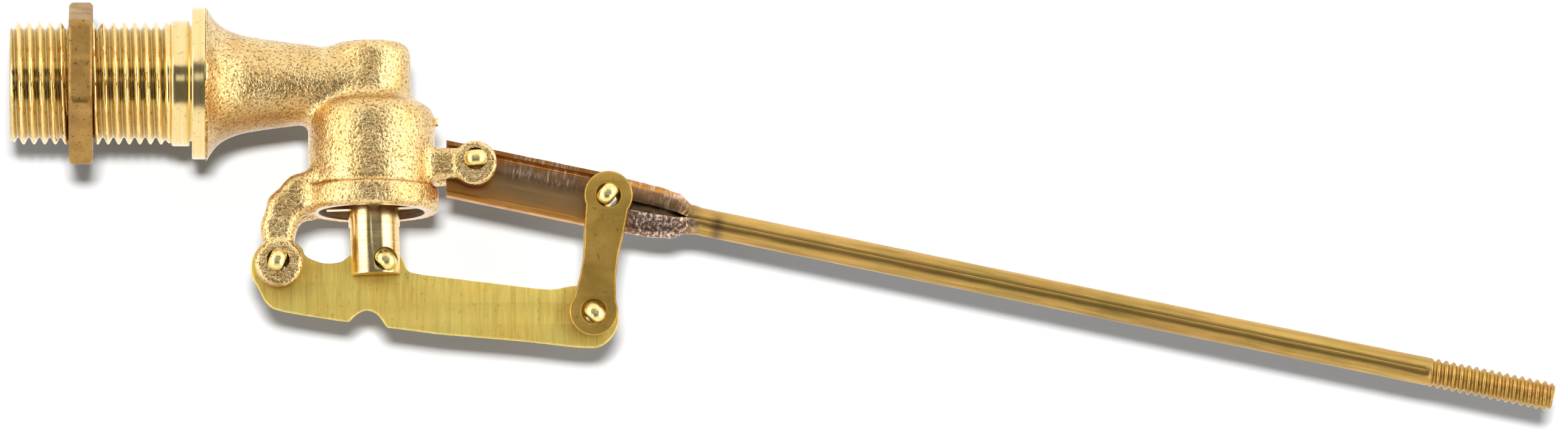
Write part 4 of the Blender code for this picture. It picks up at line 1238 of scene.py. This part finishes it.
for row in (  # piece, node, body, place, half the grip, turn of the eye
    ("fulcrumPin", "fulcrum_pin", "body", (14.65, -31.4), 5.25, 68),
    ("armPivotPin", "arm_pivot_pin", "body", (48.6, -13.85), 5.6, 5),
    ("upperLinkPin", "upper_link_pin", "arm", (71.25, -19.65), 3.5, 48),
    ("lowerLinkPin", "lower_link_pin", "lever", (69.0, -40.3), 3.5, -40),
    ("pistonPin", "piston_pin", "plunger", (33.2, -31.25), 4.3, -45),
):
    makeSplitPin(*row)
print("split pins done")


# floor, light and camera

studio = dict(
    target=(101.6, 0, -23.4), distance=2990, elevation=-9, standX=5, lens=400,
    floorZ=-110, wallY=16.5, keyWay=(0.02, 1, 0.0), keyPower=17, keyWide=11,
    tent=1.15, dim=0.15, hole=(-1, 31, -34, 29), boxes=(42, 74, -30, 38), boxPower=1.5,
    lamp=(-1, 16, 7, 12), lampPower=0.7,
)


def stageSheet(name, width, height, matrix, light, dark):  # seen from its front only
    u, v = width / 2 * mm, height / 2 * mm
    mesh = bpy.data.meshes.new(name)
    mesh.from_pydata([(-u, -v, 0), (u, -v, 0), (u, v, 0), (-u, v, 0)], [], [(0, 1, 2, 3)])
    sheet = bpy.data.objects.new(name, mesh)
    bpy.context.scene.collection.objects.link(sheet)
    sheet.matrix_world = matrix
    made, tree, shader = newMaterial(name, 0.75, 0.0)
    grain = noiseNode(tree, objectCoords(tree), 30, 3)
    tree.links.new(mixColours(tree, grain, light, dark), shader.inputs["Base Color"])
    clear = addNode(tree, "ShaderNodeBsdfTransparent")
    mix = addNode(tree, "ShaderNodeMixShader")
    side = addNode(tree, "ShaderNodeNewGeometry")
    tree.links.new(side.outputs["Backfacing"], mix.inputs[0])
    tree.links.new(shader.outputs[0], mix.inputs[1])
    tree.links.new(clear.outputs[0], mix.inputs[2])
    tree.links.new(mix.outputs[0], tree.nodes["Material Output"].inputs["Surface"])
    mesh.materials.append(made)
    sheet.visible_glossy = sheet.visible_diffuse = False  # the part reflects the tent alone
    return sheet


def makeStage():
    s = studio
    down = Matrix.Translation((0, 0, s["floorZ"] * mm))
    floor = stageSheet("floor", 16000, 16000, down, (0.86, 0.86, 0.86), (0.89, 0.89, 0.88))
    behind = Matrix.Translation((0.1, s["wallY"] * mm, -0.02)) @ Matrix.Rotation(math.pi / 2, 4, "X")
    wall = stageSheet("backdrop", 1400, 700, behind, (0.24, 0.24, 0.24), (0.25, 0.25, 0.25))
    return floor, wall


def makeKeyLight(sheets):  # lights the stage only, so that the part drops a soft shadow
    s = studio
    light = bpy.data.lights.new("keyLight", "SUN")
    light.energy = s["keyPower"]
    light.angle = math.radians(s["keyWide"])
    lamp = bpy.data.objects.new("keyLight", light)
    bpy.context.scene.collection.objects.link(lamp)
    lamp.rotation_euler = Vector(s["keyWay"]).to_track_quat("-Z", "Y").to_euler()
    lit = bpy.data.collections.new("keyLit")
    for sheet in sheets:
        lit.objects.link(sheet)
    lamp.light_linking.receiver_collection = lit


def makeWorld():  # a white tent with two tall soft boxes and a dim front
    s = studio
    world = bpy.data.worlds.new("studio")
    bpy.context.scene.world = world
    world.use_nodes = True
    tree = world.node_tree
    back = tree.nodes["Background"]
    coords = addNode(tree, "ShaderNodeTexCoord").outputs["Generated"]
    tilt = math.radians(s["elevation"])

    def facing(way):
        dot = addNode(tree, "ShaderNodeVectorMath", operation="DOT_PRODUCT")
        tree.links.new(coords, dot.inputs[0])
        dot.inputs[1].default_value = way
        return dot.outputs["Value"]

    front = facing((0, -math.cos(tilt), math.sin(tilt)))
    rise = mathNode(tree, "ARCSINE", facing((0, math.sin(tilt), math.cos(tilt))))
    around = mathNode(tree, "ARCTAN2", facing((1, 0, 0)), front)
    swing = mathNode(tree, "ABSOLUTE", around)

    def edge(value, full, none):  # 1 at full, 0 at none, angles in degrees
        node = addNode(tree, "ShaderNodeMapRange", interpolation_type="SMOOTHSTEP")
        tree.links.new(value, node.inputs["Value"])
        node.inputs["From Min"].default_value = math.radians(none)
        node.inputs["From Max"].default_value = math.radians(full)
        return node.outputs["Result"]

    def patch(inner, outer, low, high, soft):
        sides = mathNode(tree, "MULTIPLY", edge(swing, inner, inner - soft), edge(swing, outer, outer + soft))
        heights = mathNode(tree, "MULTIPLY", edge(rise, low, low - soft), edge(rise, high, high + soft))
        return mathNode(tree, "MULTIPLY", sides, heights)

    box = mathNode(tree, "MULTIPLY", patch(*s["boxes"], 4), s["boxPower"])
    hole = mathNode(tree, "MULTIPLY", patch(*s["hole"], 5), s["tent"] - s["dim"])
    lamp = mathNode(tree, "MULTIPLY", patch(*s["lamp"], 5), s["lampPower"])
    shade = mathNode(tree, "SUBTRACT", mathNode(tree, "ADD", box, s["tent"]), hole)
    shade = mathNode(tree, "ADD", shade, lamp)
    seen = addNode(tree, "ShaderNodeLightPath").outputs["Is Camera Ray"]
    mix = addNode(tree, "ShaderNodeMix")
    tree.links.new(seen, mix.inputs["Factor"])
    tree.links.new(shade, mix.inputs["A"])
    mix.inputs["B"].default_value = 1
    tree.links.new(mix.outputs["Result"], back.inputs["Strength"])
    back.inputs["Color"].default_value = (1, 1, 1, 1)


def makeCamera():
    s = studio
    e = math.radians(s["elevation"])
    lens = bpy.data.cameras.new("camera")
    lens.lens = s["lens"]
    lens.sensor_width = 36
    lens.clip_start, lens.clip_end = 0.01, 50
    camera = bpy.data.objects.new("camera", lens)
    bpy.context.scene.collection.objects.link(camera)
    target = Vector(s["target"])
    spot = Vector((s["standX"], -s["distance"] * math.cos(e), target.z + s["distance"] * math.sin(e)))
    back = (spot - target).normalized()
    right = (Vector((1, 0, 0)) - back * back.x).normalized()  # the valve's axis stays level in the frame
    turn = Matrix((right, back.cross(right), back)).transposed().to_4x4()
    camera.matrix_world = Matrix.Translation(spot * mm) @ turn
    bpy.context.scene.camera = camera


makeKeyLight(makeStage())
makeWorld()
makeCamera()
bpy.context.scene.view_settings.view_transform = "Standard"
print("studio done")

bpy.context.view_layer.update()
